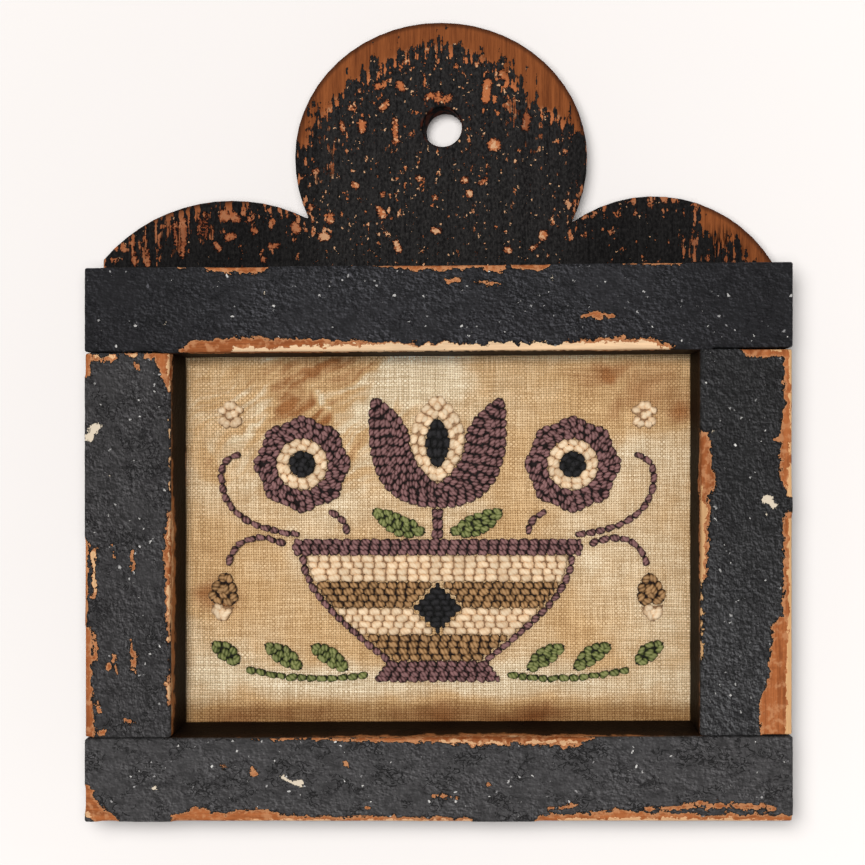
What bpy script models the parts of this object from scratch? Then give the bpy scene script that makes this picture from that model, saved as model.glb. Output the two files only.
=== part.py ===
# Framed punch needle embroidery: a crested back board, four rails, the cloth and its stitching.
# It hangs upright and faces -Y. The origin is the nail hole's centre on the board's back face.
# Sizes are in millimetres, x to the right and z up. Depth is counted forward from the back face.

from math import atan2, cos, degrees, hypot, pi, radians, sin, sqrt

import bmesh
import bpy

NAME = "framed_punch_needle_embroidery"
MM = 0.001
GAP = 0.3

# Back board with its crest, a tall round lobe over two low shoulders
BOARD_LEFT = -121.0
BOARD_RIGHT = 118.6
BOARD_BOTTOM = -241.3
BOARD_THICKNESS = 10.0
NAIL_HOLE_RADIUS = 7.0
LOBE = {"centre": (-0.3, -10.7), "radius": 52.2, "rise": 48.1}
LEFT_SHOULDER = {"centre": (-75.0, -86.8), "radius": 60.5}
RIGHT_SHOULDER = {"centre": (75.7, -74.7), "radius": 50.0}
CREST_EDGE_ROUNDING = 1.0

# Frame: a pair of heights is the left end's and the right end's, as the top rail climbs a little
FRAME_LEFT = -121.0
FRAME_RIGHT = 119.9
FRAME_BOTTOM = -241.8
FRAME_TOP = (-53.4, -51.3)
TOP_RAIL_FOOT = (-82.0, -80.4)
BOTTOM_RAIL_HEAD = (-213.5, -212.7)
OPENING_LEFT = -91.7
OPENING_RIGHT = 88.7
RAIL_THICKNESS = 19.0
RAIL_EDGE_ROUNDING = 0.8
RABBET_WIDTH = 6.0
RABBET_DEPTH = 1.5

# Ground cloth, held in the rabbet
CLOTH_MARGIN = 5.0
CLOTH_THICKNESS = 1.0

# Stitching: a footed bowl of flowers, drawn from the middle of its base as u across and v up.
# What has a left and a right is drawn on the right and mirrored.
PATTERN_BASE = (-1.5, -197.5)
PILE_THICKNESS = 1.4
LINE_WIDTH = 2.2

BOWL = {
    "foot_height": 7.0,
    "foot_half_widths": (23.0, 18.0),
    "base_half_width": 19.0,
    "swell": 30.0,
    "band_height": 9.4,
    "threads": ("olive", "cream", "olive", "cream"),
    "diamond_half_width": 9.0,
    "rim_half_width": 52.0,
    "rim_height": 5.4,
}
TULIP = {
    "base": (0.0, 61.6),
    "belly": (29.0, 61.0),
    "tip": (23.5, 101.5),
    "notch": (14.0, 97.0),
    "petals_part": 88.0,
    "heart_foot": 70.0,
    "heart_tip": 102.0,
    "heart_half_width": 9.6,
    "core_foot": 75.0,
    "core_tip": 94.0,
    "core_width": 8.4,
    "stem_width": 3.6,
    "stem_top": 61.2,
    "leaf_base": (3.2, 52.4),
    "leaf_tip": (24.0, 61.5),
    "leaf_width": 7.6,
    "leaf_bend": -1.5,
}
ROSETTE = {
    "centre": (48.0, 77.0),
    "radius": 16.4,
    "scallops": 8,
    "scallop_depth": 0.07,
    "ring_radius": 9.4,
    "eye_radius": 5.2,
    "stem": ((32.0, 52.1), (32.0, 58.0), (38.6, 60.4)),
}
BUD = {
    "stem": ((54.0, 48.6), (71.0, 56.0), (74.5, 41.0)),
    "base": (75.0, 39.2),
    "tip": (77.0, 20.5),
    "width": 10.0,
    "tip_starts": 0.63,
}
TENDRIL = (
    ((49.0, 52.1), (72.0, 54.0), (76.0, 67.0)),
    ((76.0, 67.0), (79.5, 80.0), (70.0, 80.5)),
)
STAR = {"centre": (73.5, 94.5), "outer_radius": 7.6, "inner_radius": 3.4, "points": 5}
SPRIG = {
    "stem": ((24.8, 2.2), (46.0, -1.0), (68.0, 4.2)),
    "leaves": (
        ((31.0, 3.2), (46.0, 13.0)),
        ((47.5, 3.6), (62.5, 13.4)),
        ((69.8, 5.4), (81.0, 14.0)),
    ),
    "leaf_width": 6.6,
    "leaf_bend": 0.8,
}

# Colour and roughness of each finish
FINISHES = {
    "crest_paint": ((0.020, 0.019, 0.019), 0.62),
    "rail_paint": ((0.035, 0.036, 0.038), 0.60),
    "ground_cloth": ((0.52, 0.36, 0.20), 0.95),
    "plum_thread": ((0.105, 0.052, 0.055), 0.80),
    "cream_thread": ((0.72, 0.52, 0.30), 0.80),
    "olive_thread": ((0.150, 0.095, 0.040), 0.80),
    "green_thread": ((0.075, 0.115, 0.035), 0.80),
    "black_thread": ((0.010, 0.010, 0.011), 0.80),
}


def clear_scene():
    for old in list(bpy.data.objects):
        bpy.data.objects.remove(old, do_unlink=True)


def make_collection(name):
    collection = bpy.data.collections.new(name)
    bpy.context.scene.collection.children.link(collection)
    return collection


def make_material(node, finish):
    colour, roughness = FINISHES[finish]
    material = bpy.data.materials.new(f"{node}_{finish}")
    material.use_nodes = True
    shader = material.node_tree.nodes["Principled BSDF"]
    shader.inputs["Base Color"].default_value = (*colour, 1.0)
    shader.inputs["Roughness"].default_value = roughness
    shader.inputs["Metallic"].default_value = 0.0
    return material


# Outlines, as lists of points


def arc(centre, radii, start, stop, steps):
    points = []
    for i in range(steps + 1):
        angle = radians(start + (stop - start) * i / steps)
        points.append((centre[0] + radii[0] * cos(angle), centre[1] + radii[1] * sin(angle)))
    return points


def circle(centre, radius, steps):
    return arc(centre, (radius, radius), 0, 360, steps)[:-1]


# A smooth bend from start to end, pulled towards control
def bow(start, control, end, steps=12):
    points = []
    for i in range(steps + 1):
        t = i / steps
        pull = 2 * t * (1 - t)
        x = (1 - t) ** 2 * start[0] + pull * control[0] + t * t * end[0]
        z = (1 - t) ** 2 * start[1] + pull * control[1] + t * t * end[1]
        points.append((x, z))
    return points


def mirrored(points):
    return [(-u, v) for u, v in reversed(points)]


def with_left_half(right_half):
    return right_half + [point for point in mirrored(right_half) if point[0] < -MM]


# The outline of a line of stitches
def strip(line, width):
    left, right = [], []
    for i, (x, z) in enumerate(line):
        before = line[max(i - 1, 0)]
        after = line[min(i + 1, len(line) - 1)]
        run = hypot(after[0] - before[0], after[1] - before[1])
        across_x = (before[1] - after[1]) / run * width / 2
        across_z = (after[0] - before[0]) / run * width / 2
        left.append((x + across_x, z + across_z))
        right.append((x - across_x, z - across_z))
    return left + right[::-1]


def oval_share(t):
    return sin(pi * t) ** 0.8 if 0 < t < 1 else 0.0


# A leaf or bud from base to tip, or the stretch of it between two shares of its length
def pointed_oval(base, tip, width, bend=0.0, start=0.0, stop=1.0, steps=10):
    length = hypot(tip[0] - base[0], tip[1] - base[1])
    along_x = (tip[0] - base[0]) / length
    along_z = (tip[1] - base[1]) / length
    left, right = [], []
    for i in range(steps + 1):
        t = start + (stop - start) * i / steps
        half = width / 2 * oval_share(t)
        sway = bend * sin(pi * t)
        x = base[0] + along_x * length * t - along_z * sway
        z = base[1] + along_z * length * t + along_x * sway
        left.append((x - along_z * half, z + along_x * half))
        right.append((x + along_z * half, z - along_x * half))
    if start == 0.0:
        right = right[1:]
    if stop == 1.0:
        right = right[:-1]
    return left + right[::-1]


def scalloped(centre, radius, scallops, depth, steps=48):
    points = []
    for i in range(steps):
        angle = 2 * pi * i / steps
        reach = radius * (1 + depth * cos(scallops * angle))
        points.append((centre[0] + reach * cos(angle), centre[1] + reach * sin(angle)))
    return points


def star_outline(centre, outer_radius, inner_radius, points):
    outline = []
    for i in range(2 * points):
        angle = pi / 2 + pi * i / points
        reach = inner_radius if i % 2 else outer_radius
        outline.append((centre[0] + reach * cos(angle), centre[1] + reach * sin(angle)))
    return outline


# Solids from outlines; a second loop is a hole


def flat_piece(name, loops, depth, thickness, finish, parts):
    curve = bpy.data.curves.new(name, "CURVE")
    curve.dimensions = "2D"
    curve.fill_mode = "BOTH"
    curve.extrude = thickness * MM / 2
    for loop in loops:
        spline = curve.splines.new("POLY")
        spline.points.add(len(loop) - 1)
        for point, (x, z) in zip(spline.points, loop):
            point.co = (x * MM, z * MM, 0.0, 1.0)
        spline.use_cyclic_u = True
    curve.materials.append(make_material(name, finish))
    piece = bpy.data.objects.new(name, curve)
    piece.rotation_euler.x = pi / 2
    piece.location.y = -(depth + thickness / 2) * MM
    parts.objects.link(piece)
    return piece


def as_mesh(piece, parts):
    bpy.context.view_layer.update()
    evaluated = piece.evaluated_get(bpy.context.evaluated_depsgraph_get())
    mesh = bpy.data.meshes.new_from_object(evaluated)
    surface = bmesh.new()
    surface.from_mesh(mesh)
    bmesh.ops.remove_doubles(surface, verts=surface.verts, dist=0.01 * MM)
    bmesh.ops.dissolve_limit(
        surface, angle_limit=radians(0.1), verts=surface.verts, edges=surface.edges
    )
    surface.to_mesh(mesh)
    surface.free()
    name = piece.name
    place = piece.matrix_world.copy()
    bpy.data.objects.remove(piece, do_unlink=True)
    solid = bpy.data.objects.new(name, mesh)
    solid.matrix_world = place
    parts.objects.link(solid)
    return solid


def keep_as_cutter(tool, name, cutters):
    for home in list(tool.users_collection):
        home.objects.unlink(tool)
    cutters.objects.link(tool)
    tool.name = name
    tool.hide_render = True
    tool.display_type = "WIRE"


def cut_and_round(solid, cutter, rounding):
    cut = solid.modifiers.new("cut", "BOOLEAN")
    cut.operation = "DIFFERENCE"
    cut.solver = "EXACT"
    cut.object = cutter
    edge = solid.modifiers.new("rounded edges", "BEVEL")
    edge.width = rounding * MM
    edge.segments = 2
    edge.limit_method = "ANGLE"
    edge.angle_limit = radians(50)


# Back board


# The upper crossing of the lobe's circle and a shoulder's
def joint_with_lobe(shoulder):
    run_x = shoulder["centre"][0] - LOBE["centre"][0]
    run_z = shoulder["centre"][1] - LOBE["centre"][1]
    distance = hypot(run_x, run_z)
    along = (distance**2 + LOBE["radius"] ** 2 - shoulder["radius"] ** 2) / (2 * distance)
    aside = sqrt(LOBE["radius"] ** 2 - along**2)
    crossings = []
    for side in (-1, 1):
        x = LOBE["centre"][0] + (run_x * along + side * run_z * aside) / distance
        z = LOBE["centre"][1] + (run_z * along - side * run_x * aside) / distance
        crossings.append((x, z))
    return max(crossings, key=lambda point: point[1])


def angle_from(centre, point):
    return degrees(atan2(point[1] - centre[1], point[0] - centre[0]))


# Where a shoulder runs out at the board's side
def shoulder_end(shoulder, side):
    reach = side - shoulder["centre"][0]
    return (side, shoulder["centre"][1] + sqrt(shoulder["radius"] ** 2 - reach**2))


def round_stretch(circle_of, first, last, steps):
    centre = circle_of["centre"]
    radii = (circle_of["radius"], circle_of["radius"])
    return arc(centre, radii, angle_from(centre, first), angle_from(centre, last), steps)


def board_outline():
    right_joint = joint_with_lobe(RIGHT_SHOULDER)
    left_joint = joint_with_lobe(LEFT_SHOULDER)
    right_end = shoulder_end(RIGHT_SHOULDER, BOARD_RIGHT)
    left_end = shoulder_end(LEFT_SHOULDER, BOARD_LEFT)
    centre = LOBE["centre"]
    widest_right = (centre[0] + LOBE["radius"], centre[1])
    left_angle = angle_from(centre, left_joint) + 360
    outline = [(BOARD_LEFT, BOARD_BOTTOM), (BOARD_RIGHT, BOARD_BOTTOM)]
    outline += round_stretch(RIGHT_SHOULDER, right_end, right_joint, 14)
    outline += round_stretch(LOBE, right_joint, widest_right, 4)[1:]
    outline += arc(centre, (LOBE["radius"], LOBE["rise"]), 0, 180, 28)[1:]
    outline += arc(centre, (LOBE["radius"], LOBE["radius"]), 180, left_angle, 4)[1:]
    outline += round_stretch(LEFT_SHOULDER, left_joint, left_end, 14)[1:]
    return outline


def make_back_board(parts, cutters):
    blank = flat_piece("back_board", [board_outline()], 0.0, BOARD_THICKNESS, "crest_paint", parts)
    board = as_mesh(blank, parts)
    bpy.ops.mesh.primitive_cylinder_add(
        vertices=40,
        radius=NAIL_HOLE_RADIUS * MM,
        depth=3 * BOARD_THICKNESS * MM,
        location=(0.0, -BOARD_THICKNESS / 2 * MM, 0.0),
        rotation=(pi / 2, 0.0, 0.0),
    )
    drill = bpy.context.active_object
    keep_as_cutter(drill, "nail_hole_drill", cutters)
    cut_and_round(board, drill, CREST_EDGE_ROUNDING)


# Frame


def rail_back():
    return BOARD_THICKNESS + GAP


def height_at(ends, x):
    share = (x - FRAME_LEFT) / (FRAME_RIGHT - FRAME_LEFT)
    return ends[0] + (ends[1] - ends[0]) * share


# The opening's left, right, low and high edges, widened on every side
def opening_with_margin(margin):
    left = OPENING_LEFT - margin
    right = OPENING_RIGHT + margin
    low = min(BOTTOM_RAIL_HEAD) - margin
    high = max(TOP_RAIL_FOOT) + margin
    return left, right, low, high


def make_rabbet_cutter(cutters):
    left, right, low, high = opening_with_margin(RABBET_WIDTH)
    front = rail_back() + RABBET_DEPTH
    bpy.ops.mesh.primitive_cube_add(
        size=1.0, location=((left + right) / 2 * MM, 0.0, (low + high) / 2 * MM)
    )
    rabbet = bpy.context.active_object
    rabbet.scale = ((right - left) * MM, 2 * front * MM, (high - low) * MM)
    bpy.ops.object.transform_apply(location=False, rotation=False, scale=True)
    keep_as_cutter(rabbet, "rabbet_cutter", cutters)
    return rabbet


def rail_outline(foot, head):
    return [
        (FRAME_LEFT, foot[0]),
        (FRAME_RIGHT, foot[1]),
        (FRAME_RIGHT, head[1]),
        (FRAME_LEFT, head[0]),
    ]


def stile_outline(left, right):
    return [
        (left, height_at(BOTTOM_RAIL_HEAD, left) + GAP),
        (right, height_at(BOTTOM_RAIL_HEAD, right) + GAP),
        (right, height_at(TOP_RAIL_FOOT, right) - GAP),
        (left, height_at(TOP_RAIL_FOOT, left) - GAP),
    ]


def make_frame(parts, cutters):
    rabbet = make_rabbet_cutter(cutters)
    outlines = {
        "rail_top": rail_outline(TOP_RAIL_FOOT, FRAME_TOP),
        "rail_bottom": rail_outline((FRAME_BOTTOM, FRAME_BOTTOM), BOTTOM_RAIL_HEAD),
        "stile_left": stile_outline(FRAME_LEFT, OPENING_LEFT),
        "stile_right": stile_outline(OPENING_RIGHT, FRAME_RIGHT),
    }
    for name, outline in outlines.items():
        blank = flat_piece(name, [outline], rail_back(), RAIL_THICKNESS, "rail_paint", parts)
        cut_and_round(as_mesh(blank, parts), rabbet, RAIL_EDGE_ROUNDING)


# Cloth and stitching


def make_ground_cloth(parts):
    left, right, low, high = opening_with_margin(CLOTH_MARGIN)
    outline = [(left, low), (right, low), (right, high), (left, high)]
    flat_piece("ground_cloth", [outline], rail_back(), CLOTH_THICKNESS, "ground_cloth", parts)


def stitched(name, loops, thread, parts):
    placed = []
    for loop in loops:
        placed.append([(PATTERN_BASE[0] + u, PATTERN_BASE[1] + v) for u, v in loop])
    depth = rail_back() + CLOTH_THICKNESS + GAP
    flat_piece(name, placed, depth, PILE_THICKNESS, f"{thread}_thread", parts)


def stitched_pair(name, loops, thread, parts):
    stitched(f"{name}_right", loops, thread, parts)
    stitched(f"{name}_left", [mirrored(loop) for loop in loops], thread, parts)


def bowl_base():
    return BOWL["foot_height"] + GAP


def bowl_top():
    return bowl_base() + BOWL["band_height"] * len(BOWL["threads"])


# The bowl's side at a height, drawn in by a width measured square to it
def bowl_side_point(v, inset=0.0):
    depth = bowl_top() - bowl_base()
    angle = pi / 2 * (v - bowl_base()) / depth
    slope = BOWL["swell"] * pi / 2 / depth * cos(angle)
    half_width = BOWL["base_half_width"] + BOWL["swell"] * sin(angle)
    return (half_width - inset * sqrt(1 + slope**2), v)


def bowl_side(low, high, inset, steps):
    heights = [low + (high - low) * i / steps for i in range(steps + 1)]
    return [bowl_side_point(v, inset) for v in heights]


def make_bowl_bands(parts):
    height = BOWL["band_height"]
    middle = bowl_base() + 2 * height
    slope = BOWL["diamond_half_width"] / height
    for i, thread in enumerate(BOWL["threads"]):
        low = bowl_base() + i * height
        high = low + height - GAP
        side = bowl_side(low, high, LINE_WIDTH + GAP, 5)
        name = f"bowl_band_{i + 1}"
        if abs(low + height / 2 - middle) > height:
            stitched(name, [with_left_half(side)], thread, parts)
            continue
        beside_diamond = []
        for v in (high, low):
            clear = BOWL["diamond_half_width"] + 2 * GAP - slope * abs(v - middle)
            beside_diamond.append((clear, v))
        stitched_pair(name, [side + beside_diamond], thread, parts)
    reach = height - 2 * GAP
    width = BOWL["diamond_half_width"] - GAP
    diamond = [(0.0, middle - reach), (width, middle), (0.0, middle + reach), (-width, middle)]
    stitched("bowl_diamond", [diamond], "black", parts)


def make_bowl(parts):
    wide, narrow = BOWL["foot_half_widths"]
    height = BOWL["foot_height"]
    foot = [(-wide, 0.0), (wide, 0.0), (narrow, height), (-narrow, height)]
    stitched("bowl_foot", [foot], "plum", parts)
    make_bowl_bands(parts)
    outer = bowl_side(bowl_base(), bowl_top() - GAP, 0.0, 16)
    inner = bowl_side(bowl_base(), bowl_top() - GAP, LINE_WIDTH, 16)
    stitched_pair("bowl_side", [outer + inner[::-1]], "plum", parts)
    radius = BOWL["rim_height"] / 2
    end = (BOWL["rim_half_width"] - radius, bowl_top() + radius)
    rim = with_left_half(arc(end, (radius, radius), -90, 90, 8))
    stitched("bowl_rim", [rim], "plum", parts)


def heart_side(v, clearance=0.0):
    share = (v - TULIP["heart_foot"]) / (TULIP["heart_tip"] - TULIP["heart_foot"])
    return (TULIP["heart_half_width"] * oval_share(share) + clearance, v)


def make_tulip(parts):
    foot, tip, parting = TULIP["heart_foot"], TULIP["heart_tip"], TULIP["petals_part"]
    heart = [heart_side(foot + (tip - foot) * i / 16) for i in range(17)]
    core_ends = ((0.0, TULIP["core_foot"]), (0.0, TULIP["core_tip"]))
    room_ends = ((0.0, TULIP["core_foot"] - 2 * GAP), (0.0, TULIP["core_tip"] + 3 * GAP))
    room = pointed_oval(*room_ends, TULIP["core_width"] + 3 * GAP)
    stitched("tulip_heart", [with_left_half(heart), room], "cream", parts)
    stitched("tulip_core", [pointed_oval(*core_ends, TULIP["core_width"])], "black", parts)
    outer = bow(TULIP["base"], TULIP["belly"], TULIP["tip"])
    inner = bow(TULIP["tip"], TULIP["notch"], heart_side(parting, 2 * GAP), 5)[1:]
    for i in range(1, 8):
        inner.append(heart_side(parting + (foot - parting) * i / 8, 2 * GAP))
    inner.append((0.0, foot - 2 * GAP))
    stitched("tulip_petals", [with_left_half(outer + inner)], "plum", parts)
    stem_base = (0.0, bowl_top() + BOWL["rim_height"] + GAP)
    stem = strip([stem_base, (0.0, TULIP["stem_top"])], TULIP["stem_width"])
    stitched("tulip_stem", [stem], "plum", parts)
    leaf_ends = (TULIP["leaf_base"], TULIP["leaf_tip"])
    leaf = pointed_oval(*leaf_ends, TULIP["leaf_width"], TULIP["leaf_bend"])
    stitched_pair("tulip_leaf", [leaf], "green", parts)


def make_rosettes(parts):
    centre = ROSETTE["centre"]
    petals = scalloped(centre, ROSETTE["radius"], ROSETTE["scallops"], ROSETTE["scallop_depth"])
    ring_room = circle(centre, ROSETTE["ring_radius"], 32)
    ring = circle(centre, ROSETTE["ring_radius"] - GAP, 32)
    eye_room = circle(centre, ROSETTE["eye_radius"], 20)
    eye = circle(centre, ROSETTE["eye_radius"] - GAP, 20)
    stitched_pair("rosette", [petals, ring_room], "plum", parts)
    stitched_pair("rosette_ring", [ring, eye_room], "cream", parts)
    stitched_pair("rosette_eye", [eye], "black", parts)
    stitched_pair("rosette_stem", [strip(bow(*ROSETTE["stem"], 6), LINE_WIDTH)], "plum", parts)


def make_side_sprays(parts):
    ends = (BUD["base"], BUD["tip"])
    cut = BUD["tip_starts"]
    bud = pointed_oval(*ends, BUD["width"], stop=cut)
    bud_tip = pointed_oval(*ends, BUD["width"], start=cut + 0.02, steps=7)
    stitched_pair("bud_stem", [strip(bow(*BUD["stem"]), LINE_WIDTH)], "plum", parts)
    stitched_pair("bud", [bud], "olive", parts)
    stitched_pair("bud_tip", [bud_tip], "cream", parts)
    tendril = bow(*TENDRIL[0]) + bow(*TENDRIL[1], 8)[1:]
    stitched_pair("tendril", [strip(tendril, LINE_WIDTH)], "plum", parts)
    stitched_pair("star", [star_outline(**STAR)], "cream", parts)


def make_foot_sprigs(parts):
    stitched_pair("sprig_stem", [strip(bow(*SPRIG["stem"]), LINE_WIDTH)], "green", parts)
    for i, ends in enumerate(SPRIG["leaves"], start=1):
        leaf = pointed_oval(*ends, SPRIG["leaf_width"], SPRIG["leaf_bend"])
        stitched_pair(f"sprig_leaf_{i}", [leaf], "green", parts)


def main():
    clear_scene()
    parts = make_collection(NAME)
    cutters = make_collection("cutters")
    make_back_board(parts, cutters)
    make_frame(parts, cutters)
    make_ground_cloth(parts)
    make_bowl(parts)
    make_tulip(parts)
    make_rosettes(parts)
    make_side_sprays(parts)
    make_foot_sprigs(parts)


main()
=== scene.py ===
import math
import random

import bmesh
import bpy
import numpy as np
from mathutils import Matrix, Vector, kdtree, noise


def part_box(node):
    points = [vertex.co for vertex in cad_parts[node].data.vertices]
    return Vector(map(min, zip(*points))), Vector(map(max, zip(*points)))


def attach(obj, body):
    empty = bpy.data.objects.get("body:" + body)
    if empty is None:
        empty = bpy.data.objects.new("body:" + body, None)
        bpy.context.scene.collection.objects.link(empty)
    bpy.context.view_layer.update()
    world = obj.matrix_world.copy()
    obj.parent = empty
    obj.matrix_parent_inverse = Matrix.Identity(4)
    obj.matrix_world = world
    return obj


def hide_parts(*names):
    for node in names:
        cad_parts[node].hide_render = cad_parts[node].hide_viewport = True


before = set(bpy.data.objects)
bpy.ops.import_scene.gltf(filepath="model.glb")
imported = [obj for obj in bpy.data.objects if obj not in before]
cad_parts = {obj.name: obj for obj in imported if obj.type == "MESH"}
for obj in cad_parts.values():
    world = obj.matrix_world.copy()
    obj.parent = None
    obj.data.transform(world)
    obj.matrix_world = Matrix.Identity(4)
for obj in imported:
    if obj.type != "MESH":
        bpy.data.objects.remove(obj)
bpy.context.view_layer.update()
mm = 0.001
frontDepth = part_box("rail_top")[0].y / mm  # the frame's front face, in mm
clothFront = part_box("ground_cloth")[0].y / mm
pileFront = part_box("bowl_rim")[0].y / mm
print("frame loaded:", len(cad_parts), "nodes")


# Small helpers for shader trees


def paint(red, green, blue):  # a colour as it is read off a screen, 0 to 255
    linear = []
    for value in (red, green, blue):
        value = value / 255
        linear.append(value / 12.92 if value <= 0.04045 else ((value + 0.055) / 1.055) ** 2.4)
    return (*linear, 1.0)


def plug(socket, value):
    if isinstance(value, bpy.types.NodeSocket):
        socket.id_data.links.new(value, socket)
    else:
        socket.default_value = value


def addNode(tree, kind, values=None, **settings):
    node = tree.nodes.new("ShaderNode" + kind)
    for label, value in settings.items():
        setattr(node, label, value)
    for label, value in (values or {}).items():
        plug(node.inputs[label], value)
    return node


def treeOf(*values):  # the shader tree that these sockets are in
    return next(value.id_data for value in values if isinstance(value, bpy.types.NodeSocket))


def calc(operation, *values):
    return addNode(treeOf(*values), "Math", dict(enumerate(values)), operation=operation).outputs[0]


def step(value, low, high, start=0.0, stop=1.0):  # a soft switch from start to stop
    values = {"Value": value, "From Min": low, "From Max": high, "To Min": start, "To Max": stop}
    return addNode(treeOf(value), "MapRange", values, interpolation_type="SMOOTHSTEP").outputs[0]


def mixed(factor, first, second, blend="MIX"):  # two colours
    values = {0: factor, 6: first, 7: second}
    tree = treeOf(factor, first, second)
    return addNode(tree, "Mix", values, data_type="RGBA", blend_type=blend).outputs[2]


def mixedValue(factor, first, second):
    values = {0: factor, 2: first, 3: second}
    return addNode(treeOf(factor, first, second), "Mix", values, data_type="FLOAT").outputs[0]


def cloudy(vector, scale, detail=2.0, rough=0.5, distortion=0.0):  # soft noise about 0.5
    values = {"Vector": vector, "Scale": scale, "Detail": detail, "Roughness": rough}
    return addNode(treeOf(vector), "TexNoise", {**values, "Distortion": distortion}).outputs[0]


def vectorMath(operation, *values):
    node = addNode(treeOf(*values), "VectorMath", dict(enumerate(values)), operation=operation)
    return node.outputs[0]


def stretched(vector, stretch):
    return vectorMath("MULTIPLY", vector, stretch)


def ruffled(value, clouds, amount):  # noise about 0.5 moves the value up and down
    return calc("MULTIPLY_ADD", calc("SUBTRACT", clouds, 0.5), amount, value)


def shaded(colour, *amounts):  # a colour times one value, or times one for each channel
    red, green, blue = amounts if len(amounts) == 3 else amounts * 3
    grey = addNode(treeOf(red), "CombineColor", {0: red, 1: green, 2: blue}).outputs[0]
    return mixed(1.0, colour, grey, "MULTIPLY")


def painted(tree, name, output="Fac"):  # a value stored on the mesh's points
    return addNode(tree, "Attribute", attribute_name=name).outputs[output]


def parts(vector):  # its x, y and z
    return addNode(treeOf(vector), "SeparateXYZ", {0: vector}).outputs


def tonesOf(colours):  # the same dictionary with colours for a shader
    return {name: paint(*colour) for name, colour in colours.items()}


def newGroup(name, inputs, outputs):
    group = bpy.data.node_groups.new(name, "ShaderNodeTree")
    for label, value in inputs.items():
        kind = "NodeSocketVector" if isinstance(value, tuple) else "NodeSocketFloat"
        socket = group.interface.new_socket(label, in_out="INPUT", socket_type=kind)
        socket.default_value = value
    for label in outputs:
        group.interface.new_socket(label, in_out="OUTPUT", socket_type="NodeSocketFloat")
    given = group.nodes.new("NodeGroupInput").outputs
    result = group.nodes.new("NodeGroupOutput").inputs
    return group, given, result


def useGroup(tree, group, values):
    node = tree.nodes.new("ShaderNodeGroup")
    node.node_tree = group
    for label, value in values.items():
        plug(node.inputs[label], value)
    return node.outputs


def newMaterial(name):
    material = bpy.data.materials.new(name)
    material.use_nodes = True
    tree = material.node_tree
    return material, tree, tree.nodes["Principled BSDF"]


def dress(shader, values):  # numbers are set on the shader's sockets, sockets are linked to them
    for label, value in values.items():
        plug(shader.inputs[label], value)


def millimetres(tree, turn=(0, 0, 0)):  # the piece's own coordinates, turned by these degrees
    place = addNode(tree, "TexCoord").outputs["Object"]
    scale = (1 / mm, 1 / mm, 1 / mm)
    values = {"Vector": place, "Rotation": [math.radians(a) for a in turn], "Scale": scale}
    return addNode(tree, "Mapping", values).outputs[0]


def addBump(height, depth, normal=None):  # depth in mm for a height of 1
    values = {"Height": height, "Distance": depth * mm, "Strength": 1.0}
    if normal is not None:
        values["Normal"] = normal
    return addNode(treeOf(height), "Bump", values).outputs[0]


# Effects that several finishes share


def makeRaggedEdge():  # turns a depth into a worn patch with a crisp, torn outline
    inputs = {"Coordinates": (0, 0, 0), "Depth": 0.0, "Ragged": 2.0, "Fineness": 0.8, "Grain": 1.0}
    group, given, result = newGroup("raggedEdge", inputs, ["Mask", "Inside"])
    upwards = calc("DIVIDE", 1.0, given["Grain"])
    along = addNode(group, "CombineXYZ", {"X": 1.0, "Y": 1.0, "Z": upwards}).outputs[0]
    tear = cloudy(stretched(given["Coordinates"], along), given["Fineness"], 5.0, 0.68)
    inside = ruffled(given["Depth"], tear, given["Ragged"])
    plug(result["Mask"], step(inside, -0.06, 0.06))
    plug(result["Inside"], inside)
    return group


def makeScatteredChips():  # loose spots of any size, each with its own tone
    inputs = {"Coordinates": (0, 0, 0), "Spacing": 8.0, "Share": 0.3, "Largest": 1.0, "Torn": 1.0}
    group, given, result = newGroup("scatteredChips", inputs, ["Mask", "Tone"])
    drift = cloudy(given["Coordinates"], 0.8, 4.0, 0.68).node.outputs["Color"]
    drift = vectorMath("SUBTRACT", drift, (0.5, 0.5, 0.5))
    drift = addNode(group, "VectorMath", {0: drift, "Scale": given["Torn"]}, operation="SCALE").outputs[0]
    torn = vectorMath("ADD", given["Coordinates"], drift)
    values = {"Vector": torn, "Scale": calc("DIVIDE", 1.0, given["Spacing"])}
    cells = addNode(group, "TexVoronoi", values).outputs
    away = calc("MULTIPLY", cells["Distance"], given["Spacing"])
    chance = addNode(group, "SeparateColor", {"Color": cells["Color"]}).outputs
    left = calc("SUBTRACT", chance[0], calc("SUBTRACT", 1.0, given["Share"]))
    rank = calc("POWER", calc("MAXIMUM", calc("DIVIDE", left, given["Share"]), 0.0), 1.5)
    reach = calc("SUBTRACT", calc("MULTIPLY", rank, given["Largest"]), 0.06)
    plug(result["Mask"], step(calc("SUBTRACT", reach, away), -0.05, 0.05))
    plug(result["Tone"], chance[1])
    return group


def makeWoodGrain():  # fine lines along z
    inputs = {"Coordinates": (0, 0, 0), "Fineness": 1.0}
    group, given, result = newGroup("woodGrain", inputs, ["Tone", "Height"])
    bands = stretched(given["Coordinates"], (1.0, 1.0, 0.035))
    lines = stretched(given["Coordinates"], (1.0, 1.0, 0.06))
    slow = cloudy(bands, calc("MULTIPLY", given["Fineness"], 0.22), 3.0, 0.6, 0.6)
    fine = cloudy(lines, calc("MULTIPLY", given["Fineness"], 1.5), 3.0, 0.7)
    tone = calc("MULTIPLY_ADD", fine, 0.55, calc("MULTIPLY", slow, 0.45))
    plug(result["Tone"], tone)
    plug(result["Height"], fine)
    return group


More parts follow.
